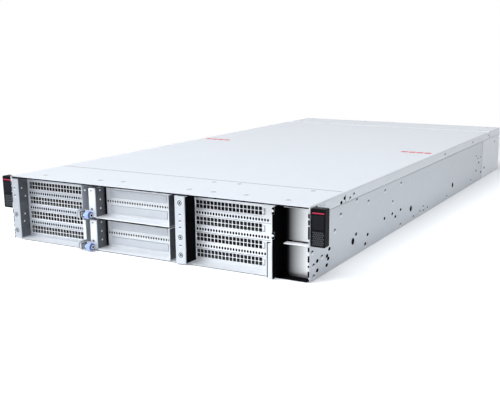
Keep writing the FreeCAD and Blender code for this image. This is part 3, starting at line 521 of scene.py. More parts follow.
class SERVER_OT_materials(bpy.types.Operator):
    """Make every finish and every repeated small piece, and paint the frame."""

    bl_idname = "server.materials"
    bl_label = "Make finishes"

    def execute(self, context):
        make_grain_group()
        make_dust_group()
        make_texture_group()
        finish = context.scene.server_finish
        self.metals(finish)
        self.plastics(finish)
        self.paints()
        self.small_pieces()
        return {"FINISHED"}

    def metals(self, finish):
        """Sheets from pale to dull, the lit and shaded copies of the zinc painting light and shade, then bright
        and dark metals.
        """
        metal("zinc_sheet", *shades(finish.sheet_color, 0.07), 0.38, metallic=0.3)
        # A lighter copy of the zinc: painted light on the top sheets' flanges and front edges and on the cage's
        # lip; the rear walls take it too
        metal("lit_flange_sheet", (0.76, 0.79, 0.84), (0.84, 0.87, 0.92), 0.38, metallic=0.3)
        # A lighter copy of the zinc: painted light on the cages, brackets, trays, arms, pan and pin heads
        metal("pale_sheet", (0.84, 0.86, 0.89), (0.92, 0.94, 0.97), 0.38, metallic=0.3)
        # A darker copy of the zinc: painted shade on the left column
        metal("shaded_sheet", (0.50, 0.53, 0.58), (0.60, 0.63, 0.68), 0.38, metallic=0.3)
        # Near white: painted highlights on edges, rims, flanges and beside dimples and holes, and the trays'
        # lighter bands
        metal("bare_edge", (0.88, 0.90, 0.93), (0.94, 0.95, 0.97), 0.4, metallic=0.1)
        # Near black: painted shade on inner walls, seams, tabs, lines and edges
        metal("dull_skin", (0.07, 0.075, 0.085), (0.16, 0.17, 0.19), 0.42, metallic=0.4)
        # The blank panels fade from near black beside the bay's wall: a painted reflection of that dark wall
        low, high = box("bay_fillers")
        reflected_shade_span = ((low.x + 10.5) * MM, high.x * MM)
        metal("bright_sheet", (0.88, 0.90, 0.92), (0.95, 0.96, 0.97), 0.3, 0.8, cell=120.0, reflection_fade=reflected_shade_span)
        metal("pin_steel", (0.70, 0.71, 0.74), (0.82, 0.83, 0.85), 0.22, cell=900.0, depth=0.02, dust=0.0)
        metal("fin_metal", (0.58, 0.60, 0.62), (0.72, 0.74, 0.76), 0.34, cell=700.0, depth=0.06)
        # Near-black fins: painted shade, so that the vents in front of them read dark
        metal("shaded_fin", (0.018, 0.019, 0.022), (0.04, 0.042, 0.047), 0.5, metallic=0.5, cell=700.0)
        metal("card_shell", (0.05, 0.052, 0.056), (0.08, 0.083, 0.09), 0.42, metallic=0.4, cell=1500.0)

    def plastics(self, finish):
        """Moulded plastics, print, lenses and the circuit board."""
        plastic("black_plastic", (0.003, 0.0032, 0.004), (0.008, 0.0085, 0.010), 0.5, depth=0.18, gloss=0.06)
        plastic("gloss_black", (0.006, 0.007, 0.011), (0.010, 0.011, 0.017), 0.25, depth=0.02, gloss=0.12)
        # Black sheets and discs of painted shade, in recesses, holes, vents and gaps where only shade falls
        plastic("gasket", (0.001, 0.001, 0.0015), (0.003, 0.003, 0.004), 0.8, gloss=0.05)
        plastic("grey_mesh", (0.045, 0.048, 0.056), (0.07, 0.074, 0.085), 0.5, gloss=0.25)
        plastic("blue_plastic", *shades(finish.knob_color, 0.09), 0.36, depth=0.08, coat=0.15)
        # A darker copy of the knob's blue: painted shade on the knob's right end
        plastic("shaded_blue", (0.05, 0.08, 0.25), (0.07, 0.11, 0.32), 0.4)
        plastic("latch_plastic", *shades(finish.latch_color, 0.1), 0.4)
        plastic("white_plastic", (0.66, 0.66, 0.63), (0.76, 0.76, 0.73), 0.45)
        plastic("red_print", *shades(finish.mark_color, 0.08), 0.5, depth=0.02)
        plastic("green_lens", (0.04, 0.40, 0.10), (0.07, 0.55, 0.15), 0.25, depth=0.02, coat=0.5)
        # Near black: painted shade in holes, screw recesses and dimples
        plastic("dark_hole", (0.003, 0.003, 0.004), (0.008, 0.008, 0.009), 0.7, gloss=0.1)
        plastic("chip_black", (0.012, 0.012, 0.013), (0.03, 0.03, 0.032), 0.5, scale=900.0)
        circuit_board("circuit_board", (0.006, 0.055, 0.022), (0.010, 0.085, 0.034), (0.02, 0.13, 0.05))

    def paints(self):
        """The record's slot on every frame piece, then the pieces that differ from it, most of them in lit or
        shaded copies of the zinc that paint light and shade.
        """
        for part in frame["record"]["subparts"]:
            paint(part["material_slot"], part["node"])
        paint("bright_sheet", "bay_fillers")
        paint("shaded_sheet", "left_column")
        paint("pale_sheet", "base_pan", "right_cage", "left_slot_brackets", "right_slot_brackets")
        paint("pale_sheet", "lower_tray", "upper_tray", "lower_tray_arm", "upper_tray_arm")
        paint("lit_flange_sheet", "left_rear_wall", "right_rear_wall")
        # The accelerator cards' fins in near black: painted shade behind the vents
        paint("shaded_fin", "card_fins")

    def small_pieces(self):
        """Node trees of the holes, screws, tabs, chips and other pieces that repeat."""
        round_disc = (1.0, 1.0, 1.0)
        # A flush screw whose dark ring and cross paint the shade in its gap and drive
        repeat_tree(
            "FlushScrew",
            ("disc", "dark_hole", (1.2, 1.2, 1.0)),
            ("disc", "pin_steel", round_disc, (0.0, 0.0, 0.002)),
            ("cube", "dark_hole", (1.1, 0.22, 0.001), (0.0, 0.0, 0.003)),
            ("cube", "dark_hole", (0.22, 1.1, 0.001), (0.0, 0.0, 0.003)),
        )
        # A pressed dimple painted flat: a dark disc of painted shade, a near-white crescent below as a painted
        # highlight, and zinc over part of the dark
        repeat_tree(
            "Dimple",
            ("disc", "bare_edge", (1.4, 1.0, 1.0), (0.3, -0.7, -0.003)),
            ("disc", "dark_hole", (1.4, 1.0, 1.0)),
            ("disc", "zinc_sheet", (0.9, 0.6, 1.0), (0.0, -0.45, 0.006)),
        )
        # A screw whose dark ring and black centre paint the shade in its gap and drive
        repeat_tree(
            "ColumnScrew",
            ("disc", "dark_hole", (1.2, 1.2, 1.0)),
            ("disc", "zinc_sheet", (0.85, 0.85, 1.0), (0.0, 0.0, 0.006)),
            ("disc", "gasket", (0.5, 0.5, 1.0), (0.0, 0.0, 0.009)),
        )
        # A hole painted flat: a black disc of painted shade with a painted highlight below it
        repeat_tree(
            "SideHole",
            ("disc", "bare_edge", (1.5, 1.0, 1.0), (0.4, -0.4, -0.003)),
            ("disc", "gasket", (1.5, 1.0, 1.0)),
        )
        # Black discs of painted shade for holes
        repeat_tree("PinHole", ("disc", "dark_hole", round_disc))
        repeat_tree("TallHole", ("disc", "gasket", (1.0, 1.35, 1.0)))
        # A pin whose dome takes the lit copy of the zinc: painted light
        repeat_tree(
            "PinHead",
            ("post", "pin_steel", (0.6, 0.6, 3.0), (0.0, 0.0, -1.5)),
            ("dome", "pale_sheet", (1.0, 1.0, 0.4)),
        )
        # Black walls and rims of painted shade inside and round each vent
        walls = (
            ((0.05, 4.0, 0.96), 1.824, 0.0, -0.5),
            ((3.7, 0.05, 0.96), 0.0, 1.974, -0.5),
            ((0.14, 4.28, 0.04), 1.92, 0.0, 0.02),
            ((3.98, 0.14, 0.04), 0.0, 2.07, 0.02),
        )
        lining = [("cube", "gasket", size, (s * x, s * y, z)) for size, x, y, z in walls for s in SIDES]
        repeat_tree("VentLining", *lining)
        # A bent tab with dark strips of painted shadow beside it
        repeat_tree(
            "BentTab",
            ("cube", "zinc_sheet", (0.8, 7.0, 0.6), (1.2, 0.0, 0.0)),
            ("cube", "zinc_sheet", (2.4, 0.8, 0.6), (0.0, 3.1, 0.0)),
            ("cube", "zinc_sheet", (2.4, 0.8, 0.6), (0.0, -3.1, 0.0)),
            ("cube", "dull_skin", (0.6, 7.4, 0.5), (1.9, 0.0, 0.0)),
            ("cube", "dull_skin", (2.6, 0.5, 0.5), (0.4, -3.75, 0.0)),
        )
        repeat_tree("EarCell", ("disc", "grey_mesh", round_disc))
        repeat_tree("MemoryBoard", ("cube", "circuit_board", (1.2, 133.0, 31.0)))
        repeat_tree("MemoryChip", ("cube", "chip_black", (0.95, 9.0, 13.0)))
        repeat_tree("SocketLatch", ("cube", "white_plastic", (3.6, 4.0, 9.0)))
        repeat_tree(
            "Capacitor",
            ("post", "chip_black", (1.0, 1.0, 2.2), (0.0, 0.0, 1.1)),
            ("disc", "fin_metal", (0.9, 0.9, 1.0), (0.0, 0.0, 2.21)),
        )
        repeat_tree("Coil", ("cube", "grey_mesh", (8.0, 8.0, 5.0), (0.0, 0.0, 2.5)))
        repeat_tree("Chip", ("cube", "chip_black", (2.0, 2.0, 0.35), (0.0, 0.0, 0.175)))
        repeat_tree("StatusLens", ("dome", "green_lens", (1.0, 1.0, 0.6)))


class SERVER_OT_sheets(bpy.types.Operator):
    """Fold the top sheets with round edges and soften the other sheet pieces."""

    bl_idname = "server.sheets"
    bl_label = "Fold sheets"

    def execute(self, context):
        finish = context.scene.server_finish
        for name, edge in (("front_top_panel", "lit_flange_sheet"), ("rear_top_panel", "bare_edge")):
            low, high = box(name)
            self.fold(finish, name, "chassis", [(low.y, 0.0), (high.y, 0.0)], edge)
        low, high = box("top_cover")
        step, rise, tuck = 0.2, low.y + 13.6, 2.0
        stations = [(low.y, step), (rise, step), (rise + 4.0, 0.0)]
        stations += [(high.y - 9.0, 0.0), (high.y - 5.0, tuck), (high.y, tuck)]
        self.fold(finish, "top_cover", "top_cover", stations, "lit_flange_sheet")
        softened = (
            "left_column centre_column left_cage right_cage left_slot_brackets right_slot_brackets "
            "bay_fillers ear_brackets lower_tray upper_tray lower_tray_covers upper_tray_covers "
            "lower_tray_arm upper_tray_arm rear_wall rear_slot_brackets base_pan "
            "lower_psu_handle upper_psu_handle fan_frames"
        )
        for name in softened.split():
            soften(name, finish.edge_round)
        return {"FINISHED"}

    def half_section(self, finish, low, drop, inset):
        """One flange and its fold, from the flange's lower edge up, on the sheet's outside or set in."""
        radius = finish.fold_radius / MM
        side, top = HALF - radius, TOP - finish.sink / MM - radius - drop
        bend = radius - inset
        steps = 6
        points = [(side + bend, low)]
        for step in range(steps + 1):
            angle = math.radians(90 * step / steps)
            points.append((side + bend * math.cos(angle), top + bend * math.sin(angle)))
        return points

    def section(self, finish, low, drop):
        """Outline of a sheet folded down at both sides."""
        thick = 1.0
        outside = self.half_section(finish, low, drop, 0.0)
        inside = self.half_section(finish, low, drop, thick)
        left, left_inside = [[(-x, z) for x, z in half] for half in (outside, inside)]
        return left + outside[::-1] + inside + left_inside[::-1]

    def fold(self, finish, name, body, stations, edge):
        """A folded sheet through stations of place and drop, whose flanges and front edge take lighter finishes
        that paint light.
        """
        low = box(name)[0].z

        def build(shape):
            sections = [(y, self.section(finish, low, drop)) for y, drop in stations]
            loft(shape, [[shape.verts.new((x, y, z)) for x, z in section] for y, section in sections])

        piece = mesh_from(name + "_fold", build, "zinc_sheet")
        # Painted light: the flanges and the front edge take lighter finishes than the sheet's top
        piece.data.materials.append(materials["lit_flange_sheet"])
        piece.data.materials.append(materials[edge])
        for face in piece.data.polygons:
            face.material_index = 1 if abs(face.normal.x) > 0.97 else 2 if face.normal.y < -0.7 else 0
        carried(piece, body, [name])


class SERVER_OT_fasteners(bpy.types.Operator):
    """Set the screws, holes and dimples of the top, the sides and the columns."""

    bl_idname = "server.fasteners"
    bl_label = "Set fasteners"

    # Places on the side, as distance from the front and height
    holes = [(20.6, 20.5), (21, 9.3), (47.5, 20), (51, 16), (47, 9), (54, 27), (136, 27), (176, 18), (168, 7)]
    holes += [(269, 27.6), (282, 21), (304, 27), (238, 27), (755, 35), (800, 19), (736, 22), (774, 14)]
    holes += [(17, 83), (87, 76), (97, 80)]
    dimples = [(7, 34), (33, 23), (11, 18), (11.6, 5), (69, 46), (86, 62), (136, 71), (176, 62), (237, 66)]
    dimples += [(302, 66), (269, 45), (733, 50), (745, 44), (766, 44), (364, 5), (413, 5), (434, 6), (395, 7)]
    dimples += [(411, 12), (305, 5), (542, 6), (700, 9), (878, 62)]
    cover_dimples = [(114, 77), (126, 80), (520, 80), (700, 80), (820, 80)]
    rail_holes = (125.6, 350.3, 575.0)

    def execute(self, context):
        finish = context.scene.server_finish
        lift, screw = finish.lift / MM, finish.screw_radius / MM
        self.top(TOP - finish.sink / MM + lift, screw)
        for sign, side in ((1, "right"), (-1, "left")):
            self.side(sign, side, lift, finish.dimple_radius / MM)
        self.columns(lift, screw)
        return {"FINISHED"}

    def top(self, face, screw):
        """Flush screws of the two fixed top panels."""
        front = [(-183, 24), (-91, 27), (-58, 32), (47, 27), (83, 26), (127, 28), (185, 24)]
        front += [(47, 84), (83, 87), (186, 88)]
        rear = [(x, y) for x in (-200, -70, 70, 200) for y in (846, 904)]
        for name, spots in (("panel_screws", front), ("rear_panel_screws", rear)):
            repeated(name, "FlushScrew", [(x, FRONT + y, face) for x, y in spots], UP, screw)

    def side(self, sign, side, lift, small):
        """Painted holes and dimples, and rail holes ringed and backed with painted shade, on one side."""
        aim = (sign, 0, 0)

        def on_side(spots):
            return [(sign * (HALF + lift), FRONT + y, z) for y, z in spots]

        repeated(f"{side}_side_holes", "SideHole", on_side(self.holes), aim, small * 1.1)
        rail = [(sign * (HALF - 1.3), FRONT + y, 20) for y in self.rail_holes]
        # A black disc of painted shade behind each rail hole
        repeated(f"{side}_rail_backs", "PinHole", rail, aim, 3.6)
        inside, outside = -sign * 1.2, sign * 0.1
        bore, sleeve, rim = 2.94, 2.99, 4.4
        profile = [(inside, bore), (outside, bore), (outside, rim)]
        profile += [(0.0, rim), (0.0, sleeve), (inside, sleeve)]

        # Black rings of painted shade round the rail holes
        def shade_rings(shape):
            for x, y, z in rail:
                lathe(shape, profile, (sign * HALF, y, z), "x", 24, closed=True)

        carried(mesh_from(f"{side}_rail_rings", shade_rings, "gasket"), "chassis")
        repeated(f"{side}_side_dimples", "Dimple", on_side(self.dimples), aim, small)
        repeated(f"{side}_cover_dimples", "Dimple", on_side(self.cover_dimples), aim, small, "top_cover")

    def columns(self, lift, screw):
        """Screws, dimples and pins of the two front columns."""
        centre = box("centre_column")[0]
        left_low, left_high = box("left_column")

        def on_columns(centre_heights, left_heights):
            places = [(centre.x + 7.1, centre.y - lift, z) for z in centre_heights]
            return places + [(left_low.x + 4.6, FRONT - lift, z) for z in left_heights]

        repeated("column_screws", "ColumnScrew", on_columns((76.3, 34.2, 12.2), (34, 12)), AHEAD, screw)
        repeated("column_dimples", "Dimple", on_columns((62, 54, 46, 24), (60, 70)), AHEAD, 1.2)
        pins = [(left_high.x + lift, FRONT + y, z) for y, z in ((6, 70), (9, 34), (7, 24), (12, 58))]
        repeated("column_wall_pins", "PinHead", pins, RIGHT, 1.3)


class SERVER_OT_slots(bpy.types.Operator):
    """Add the pin holes between the slots, the tabs beside the vents and the edges and pins of the cages."""

    bl_idname = "server.slots"
    bl_label = "Detail slots"

    def execute(self, context):
        finish = context.scene.server_finish
        dot, pitch, lift = finish.dot_radius / MM, finish.dot_pitch / MM, finish.lift / MM
        self.brackets(dot, pitch, lift)
        for tier in TIERS:
            self.tray(tier, dot, pitch, lift)
        self.cages()
        return {"FINISHED"}

    def brackets(self, dot, pitch, lift):
        """Linings of painted shade in the vents, and the pin holes, dark lines of painted shade and tabs round
        them.
        """
        rows = [SLOT_LOW + SLOT_PITCH * row for row in range(4)]
        dots, tabs, vents, lines = [], [], [], []
        for node, holes, reach in (("left_slot_brackets", 24, 97), ("right_slot_brackets", 26, 112)):
            start = box(node)[0].x
            columns = [start + 4.25 + 5.1 * step for step in range(18)]
            vents += [(x, BRACKET_FACE, z + rise) for x in columns for z in rows for rise in (-2.6, 2.6)]
            for row in rows[1:]:
                z = row - SLOT_PITCH / 2
                dots += [(start + 4 + pitch * step, SLOT_PLANE - lift, z) for step in range(holes)]
                near = (start + 1, SLOT_PLANE - lift, z - 3.9)
                lines.append((near, (start + reach, SLOT_PLANE, z - 3.55)))
            tabs += [(start + 95.6, SLOT_PLANE, z) for z in rows]
        repeated("slot_pin_holes", "TallHole", dots, AHEAD, dot)
        repeated("vent_linings", "VentLining", vents, AHEAD, 1.0)
        repeated("slot_tabs", "BentTab", tabs, AHEAD, 1.0)
        # Dark lines of painted shade along the seams between the slots
        blocks("slot_lines", lines, "dull_skin", "chassis")

    def tray(self, tier, dot, pitch, lift):
        """Pin holes between a tray's slots, on a near-white band of the highlight finish, and the pins and dimple
        of its arm.
        """
        body = f"{tier}_tray"
        low, high = box(body)
        middle = (low.z + high.z) / 2
        face = TRAY_FACE - lift
        dots = [(low.x + 15.5 + pitch * step, face, middle) for step in range(27)]
        repeated(f"{tier}_tray_pin_holes", "TallHole", dots, AHEAD, dot * 0.86, body)
        near = (low.x + 13.6, face + 0.6 * lift, middle - 1.7)
        far = (low.x + 120.6, face + lift, middle + 1.7)
        blocks(f"{tier}_tray_band", [(near, far)], "bare_edge", body)
        arm = box(f"{tier}_tray_arm")[1].x + lift
        pins = [(arm, FRONT + 9, low.z + z) for z in (11.4, 22.8, 34.8)]
        repeated(f"{tier}_arm_pins", "PinHead", pins, RIGHT, 1.3, body)
        strip = [(low.x + 4, FRONT - 1.0 - lift, high.z - 5)]
        repeated(f"{tier}_arm_dimple", "Dimple", strip, AHEAD, 1.0, body)

    def cages(self):
        """Pins, flange and lip of the cages, and painted highlights along the edges of the bay's blank panels."""
        cage_low, cage_high = box("right_cage")
        gap_edge = box("left_cage")[1].x
        pins = [(cage_high.x + 0.2, FRONT - 6.8, z) for z in (51.2, 79.6)]
        pins.append((gap_edge + 1.8, FRONT + 4, 77))
        repeated("cage_pins", "PinHead", pins, AHEAD, 1.5)
        flange = ((gap_edge - 1.0, FRONT - 0.2, 12.4), (gap_edge + 3.8, FRONT + 0.8, 38.6))
        blocks("cage_flange", [flange], "bare_edge", "chassis", bevel=0.3)
        lip = ((cage_high.x - LIP_WIDTH, cage_low.y - 0.2, 1.6), (cage_high.x, cage_low.y + 0.8, 42))
        blocks("cage_lip", [lip], "lit_flange_sheet", "chassis", bevel=0.3)
        fillers = box("bay_fillers")
        near, far, edge, shelf = cage_high.x + 9.2, HALF - 3.0, fillers[0].y, 41.8
        edges = [((near, edge - 0.05, z - 1.1), (far, edge + 0.1, z)) for z in (shelf, fillers[1].z)]
        edges.append(((near, edge + 0.1, shelf), (far, edge + 8.6, shelf + 0.1)))
        blocks("filler_edges", edges, "bare_edge", "chassis")


class SERVER_OT_linings(bpy.types.Operator):
    """Paint shade into the recesses of the front with black strips and dark inner skins."""

    bl_idname = "server.linings"
    bl_label = "Line recesses"

    # Foot and head of the dark slots along each front edge of the sides
    edge_slots = ((1, 4), (6, 13), (17.5, 20), (23.5, 31), (35.5, 41), (50, 64.5), (66, 72), (74, 79))

    def execute(self, context):
        finish = context.scene.server_finish
        lift = finish.lift / MM
        self.shadow_strips(lift)
        self.dull(lift, TOP - finish.sink / MM)
        for tier in TIERS:
            self.tray(tier)
        return {"FINISHED"}

    def shadow_strips(self, lift):
        """Black strips of painted shade beside the column and the right cage, in the bay, and along the front
        edges.
        """
        column_low, column = box("centre_column")
        cage_low, cage_high = box("right_cage")
        low, high = box("lower_tray")
        bay, front, face = cage_high.x, cage_low.y, FRONT - lift
        gap, pan_top = 8.6, 1.2
        wall_end = box("bay_fillers")[1].y - 1.2
        notch_end = front + 6.2
        gap_high = box("upper_tray")[0].z - 0.25
        black = [
            ((column.x, column_low.y + 1.4, LINING_LOW), (column.x + SKIN, LINING_BACK, LINING_HIGH)),
            ((bay, wall_end - SKIN, LINING_LOW), (bay + gap, wall_end, LINING_HIGH)),
            ((bay, notch_end, 1.3), (bay + SKIN, wall_end, LINING_HIGH)),
        ]
        for below, above in ((0.3, 46.4), (54.8, 75.0)):
            black.append(((bay, front + 0.4, below), (bay + SKIN, notch_end, above)))
        for below in (46.8, 75.4):
            black.append(((bay - 1.1, front + 1.4, below), (bay - 0.1, notch_end, below + 7.6)))
        black += [
            ((bay - LIP_WIDTH, front + 0.3, 42), (bay, front + 1.0, 43.4)),
            ((bay, FRONT + 0.2, pan_top), (bay + gap, wall_end, pan_top + SKIN)),
            ((bay, FRONT + 0.2, pan_top), (HALF - 2, FRONT + 11.9, pan_top + SKIN)),
            ((bay, face, 0.2), (HALF - 2, FRONT + 0.2, 1.8)),
            ((-HALF + 1.4, face, 84.4), (HALF - 1.4, FRONT + 1.4, 85.9)),
            ((low.x + 11, FRONT + 0.6, high.z + 0.25), (high.x - 0.4, TRAY_FACE - 0.4, gap_high)),
        ]
        for sign, width in ((-1, 1.2), (1, 2.2)):
            near, far = sorted((sign * (HALF - width), sign * (HALF - 0.1)))
            black += [((near, face, below), (far, FRONT + 0.1, above)) for below, above in self.edge_slots]
        blocks("shadow_strips", black, "gasket", "chassis")

    def dull(self, lift, top):
        """Dark skins of painted shade beside the left column and the lip, and painted shade lines along the seams
        and the pan's front edge.
        """
        cage_low, cage_high = box("right_cage")
        side, lip_edge = box("left_column")[1].x, cage_high.x - LIP_WIDTH
        seam = box("front_top_panel")[1].y
        dull = [
            ((side, FRONT + 1.0, LINING_LOW), (side + SKIN, LINING_BACK, LINING_HIGH)),
            ((lip_edge - 1.6, cage_low.y + 0.3, 1.6), (lip_edge, cage_low.y + 1.0, 43.4)),
            ((side, FRONT - lift, 0.15), (cage_high.x, FRONT + 0.1, 0.85)),
            ((-HALF + 4, seam - 2.0, top), (HALF - 4, seam - 0.1, top + lift)),
        ]
        flange_foot, flange_head = 74.5, 84
        seams = (
            (box("right_rear_wall")[0].y + 0.1, 1.6, 1, 73),
            (seam - 1.5, 1.4, flange_foot, flange_head),
            (box("rear_top_panel")[0].y + 0.1, 2.4, flange_foot, flange_head),
        )
        for sign in SIDES:
            near, far = sorted((sign * (HALF - 0.1), sign * (HALF + lift)))
            dull += [((near, start, foot), (far, start + width, head)) for start, width, foot, head in seams]
        blocks("shade_linings", dull, "dull_skin", "chassis")

    def tray(self, tier):
        """Painted shade: a dark ring round the plunger's hole in a tray's lug, dark skins on the arm and the
        tray's end, and a black strip in the arm's corner.
        """
        body = f"{tier}_tray"
        low, high = box(body)
        arm_low, arm = box(f"{tier}_tray_arm")
        pin_low, pin_high = box(f"{tier}_plunger_pin")
        lug, y, z = arm_low.x + 1.0, (pin_low.y + pin_high.y) / 2, (pin_low.z + pin_high.z) / 2
        hole, near, far, foot, head = 2.6, -4.8, 6.0, -3.6, 4.4
        spans = (
            (near, -hole, foot, head),
            (hole, far, foot, head),
            (-hole, hole, foot, -hole),
            (-hole, hole, hole, head),
        )
        ring = [((lug, y + a, z + c), (lug + SKIN, y + b, z + d)) for a, b, c, d in spans]
        blocks(f"{tier}_lug_ring", ring, "dull_skin", body)
        skin = ((arm.x, FRONT + 0.5, low.z + 1.4), (arm.x + SKIN, TRAY_FACE, arm.z))
        blocks(f"{tier}_arm_skin", [skin], "dull_skin", body)
        corner = ((arm.x + SKIN, TRAY_FACE - SKIN, low.z + 1.8), (arm.x + 3.2, TRAY_FACE, arm.z - 0.6))
        blocks(f"{tier}_arm_corner", [corner], "gasket", body)
        end = ((high.x, FRONT + 0.5, low.z + 0.6), (high.x + SKIN, TRAY_FACE + 8, high.z - 0.6))
        blocks(f"{tier}_tray_skin", [end], "dull_skin", body)


class SERVER_OT_ears(bpy.types.Operator):
    """Mould the black ear caps with a plain red bar and a mesh field."""

    bl_idname = "server.ears"
    bl_label = "Mould ears"

    def execute(self, context):
        ear_low, ear_high = box("ear_caps")
        low, high, front = ear_low.z, ear_high.z, ear_low.y
        inset, rim, pitch = 0.5, 1.6, 2.3

        def pair(margin, foot, head, radius, near, far):
            """A function that fills a mesh with one rounded plate on each ear."""
            def build(shape):
                for sign in SIDES:
                    edges = sorted((sign * (HALF + margin), sign * (ear_high.x - margin)))
                    prism(shape, rounded(*edges, foot, head, radius), near, far)
            return build

        caps = pair(0.0, low, high, 1.4, front + inset, ear_high.y)
        plates = pair(rim, low + 20, high - 7, 1.2, front, front + 1)
        bars = pair(rim, high - 5.6, high - 4.3, 0.5, front, front + 1)
        carried(mesh_from("ear_caps_body", caps, "black_plastic"), "chassis", ["ear_caps"])
        carried(mesh_from("ear_plates", plates, "gloss_black"), "chassis")
        carried(mesh_from("ear_bars", bars, "red_print"), "chassis")
        face = front + inset - context.scene.server_finish.lift / MM
        cells = [
            (sign * (HALF + 2.6 + pitch * (step + row % 2 / 2)), face, low + 2.8 + pitch * row)
            for sign in SIDES for row in range(7) for step in range(6)
        ]
        repeated("ear_mesh", "EarCell", cells, AHEAD, 1.0)
        return {"FINISHED"}


class SERVER_OT_marks(bpy.types.Operator):
    """Print the plain red blocks on the cover."""

    bl_idname = "server.marks"
    bl_label = "Print marks"

    def execute(self, context):
        finish = context.scene.server_finish
        face, head = TOP - finish.sink / MM, TOP - (finish.sink - finish.lift) / MM
        start, width, pitch = 164, 11, 13
        corners = []
        for sign in SIDES:
            for step in range(4):
                x = start + pitch * step
                near, far = sorted((sign * x, sign * (x + width)))
                corners.append(((near, FRONT + 466, face), (far, FRONT + 478, head)))
        blocks("cover_marks", corners, "red_print", "top_cover")
        return {"FINISHED"}


class SERVER_OT_plungers(bpy.types.Operator):
    """Turn the pale blue plunger knobs with a darker end ring of painted shade and a hollow core with a disc of
    painted shade.
    """

    bl_idname = "server.plungers"
    bl_label = "Turn knobs"

    def execute(self, context):
        bore = 3.05
        for tier in TIERS:
            low, high = box(f"{tier}_plunger_knob")
            radius = (high.z - low.z) / 2
            length = high.x - low.x
            place = (low.x, (low.y + high.y) / 2, (low.z + high.z) / 2)
            ring = length - 1.9
            profile = [
                (0.0, bore),
                (0.0, radius - 0.6),
                (0.5, radius),
                (ring, radius),
                (ring + 0.2, radius - 0.25),
                (ring + 0.5, radius - 0.05),
                (length - 0.4, radius - 0.1),
                (length, radius - 0.6),
                (length, bore),
            ]

            def build(shape):
                lathe(shape, profile, place, "x", closed=True)

            knob = mesh_from(f"{tier}_knob", build, "blue_plastic", smooth=True)
            # The knob's right end takes the darker blue: painted shade
            knob.data.materials.append(materials["shaded_blue"])
            for face in knob.data.polygons:
                face.material_index = 1 if face.center.x > (low.x + ring + 0.2) * MM else 0
            carried(knob, f"{tier}_plunger", [f"{tier}_plunger_knob"])
            end = box(f"{tier}_plunger_pin")[1].x + 0.02
            hollow = [(end, place[1], place[2])]
            repeated(f"{tier}_knob_hollow", "PinHole", hollow, RIGHT, 1.7, f"{tier}_plunger")
        return {"FINISHED"}


class SERVER_OT_fans(bpy.types.Operator):
    """Shape the fan rotors with a domed hub and twisted, cambered blades."""

    bl_idname = "server.fans"
    bl_label = "Shape fans"

    hub = 20.0
    depth = 27.0
    blade_count = 5

    def execute(self, context):
        low, high = box("fan_rotor_1")
        tip = (high.z - low.z) / 2
        hub = self.hub
        profile = [(0.0, hub - 6.0), (0.3, hub - 2.4), (1.2, hub - 0.7), (2.6, hub), (self.depth, hub)]
        for name, centre in FANS.items():
            start = box(name)[0].y

            def build(shape):
                lathe(shape, profile, (centre.x, start, centre.z), "y", steps=48)
                for step in range(self.blade_count):
                    self.blade(shape, centre, start, tip, 2 * math.pi * step / self.blade_count)

            rotor = mesh_from(f"{name}_shape", build, "black_plastic", smooth=True)
            carried(rotor, name, [name])
            badge = [(centre.x, start - 0.02, centre.z)]
            repeated(f"{name}_cap", "EarCell", badge, AHEAD, 11.0, name)
        return {"FINISHED"}

    def blade(self, shape, centre, start, tip, turn):
        """One blade as two skins of points from root to tip, joined round the rim."""
        rows, columns = 6, 8
        root = self.hub * 0.96
        grids = []
        for skin in (-0.45, 0.45):
            grid = {}
            for row in range(rows + 1):
                reach = row / rows
                radius = root + (tip - root) * reach
                spread = (9.5 + 4.0 * reach) / radius
                for column in range(columns + 1):
                    along = column / columns
                    lean = turn + spread * (2 * along - 1) + 0.10 * math.sin(math.pi * along) + 0.2 * reach
                    x = centre.x + radius * math.sin(lean)
                    z = centre.z + radius * math.cos(lean)
                    grid[row, column] = shape.verts.new((x, start + 2.2 + 22.4 * along + skin, z))
            for row in range(rows):
                for column in range(columns):
                    corners = ((row, column), (row + 1, column), (row + 1, column + 1), (row, column + 1))
                    shape.faces.new([grid[corner] for corner in corners])
            grids.append(grid)
        rim = [(0, column) for column in range(columns)] + [(row, columns) for row in range(rows)]
        rim += [(rows, column) for column in range(columns, 0, -1)] + [(row, 0) for row in range(rows, 0, -1)]
        for here, there in zip(rim, rim[1:] + rim[:1]):
            shape.faces.new((grids[0][here], grids[0][there], grids[1][there], grids[1][here]))


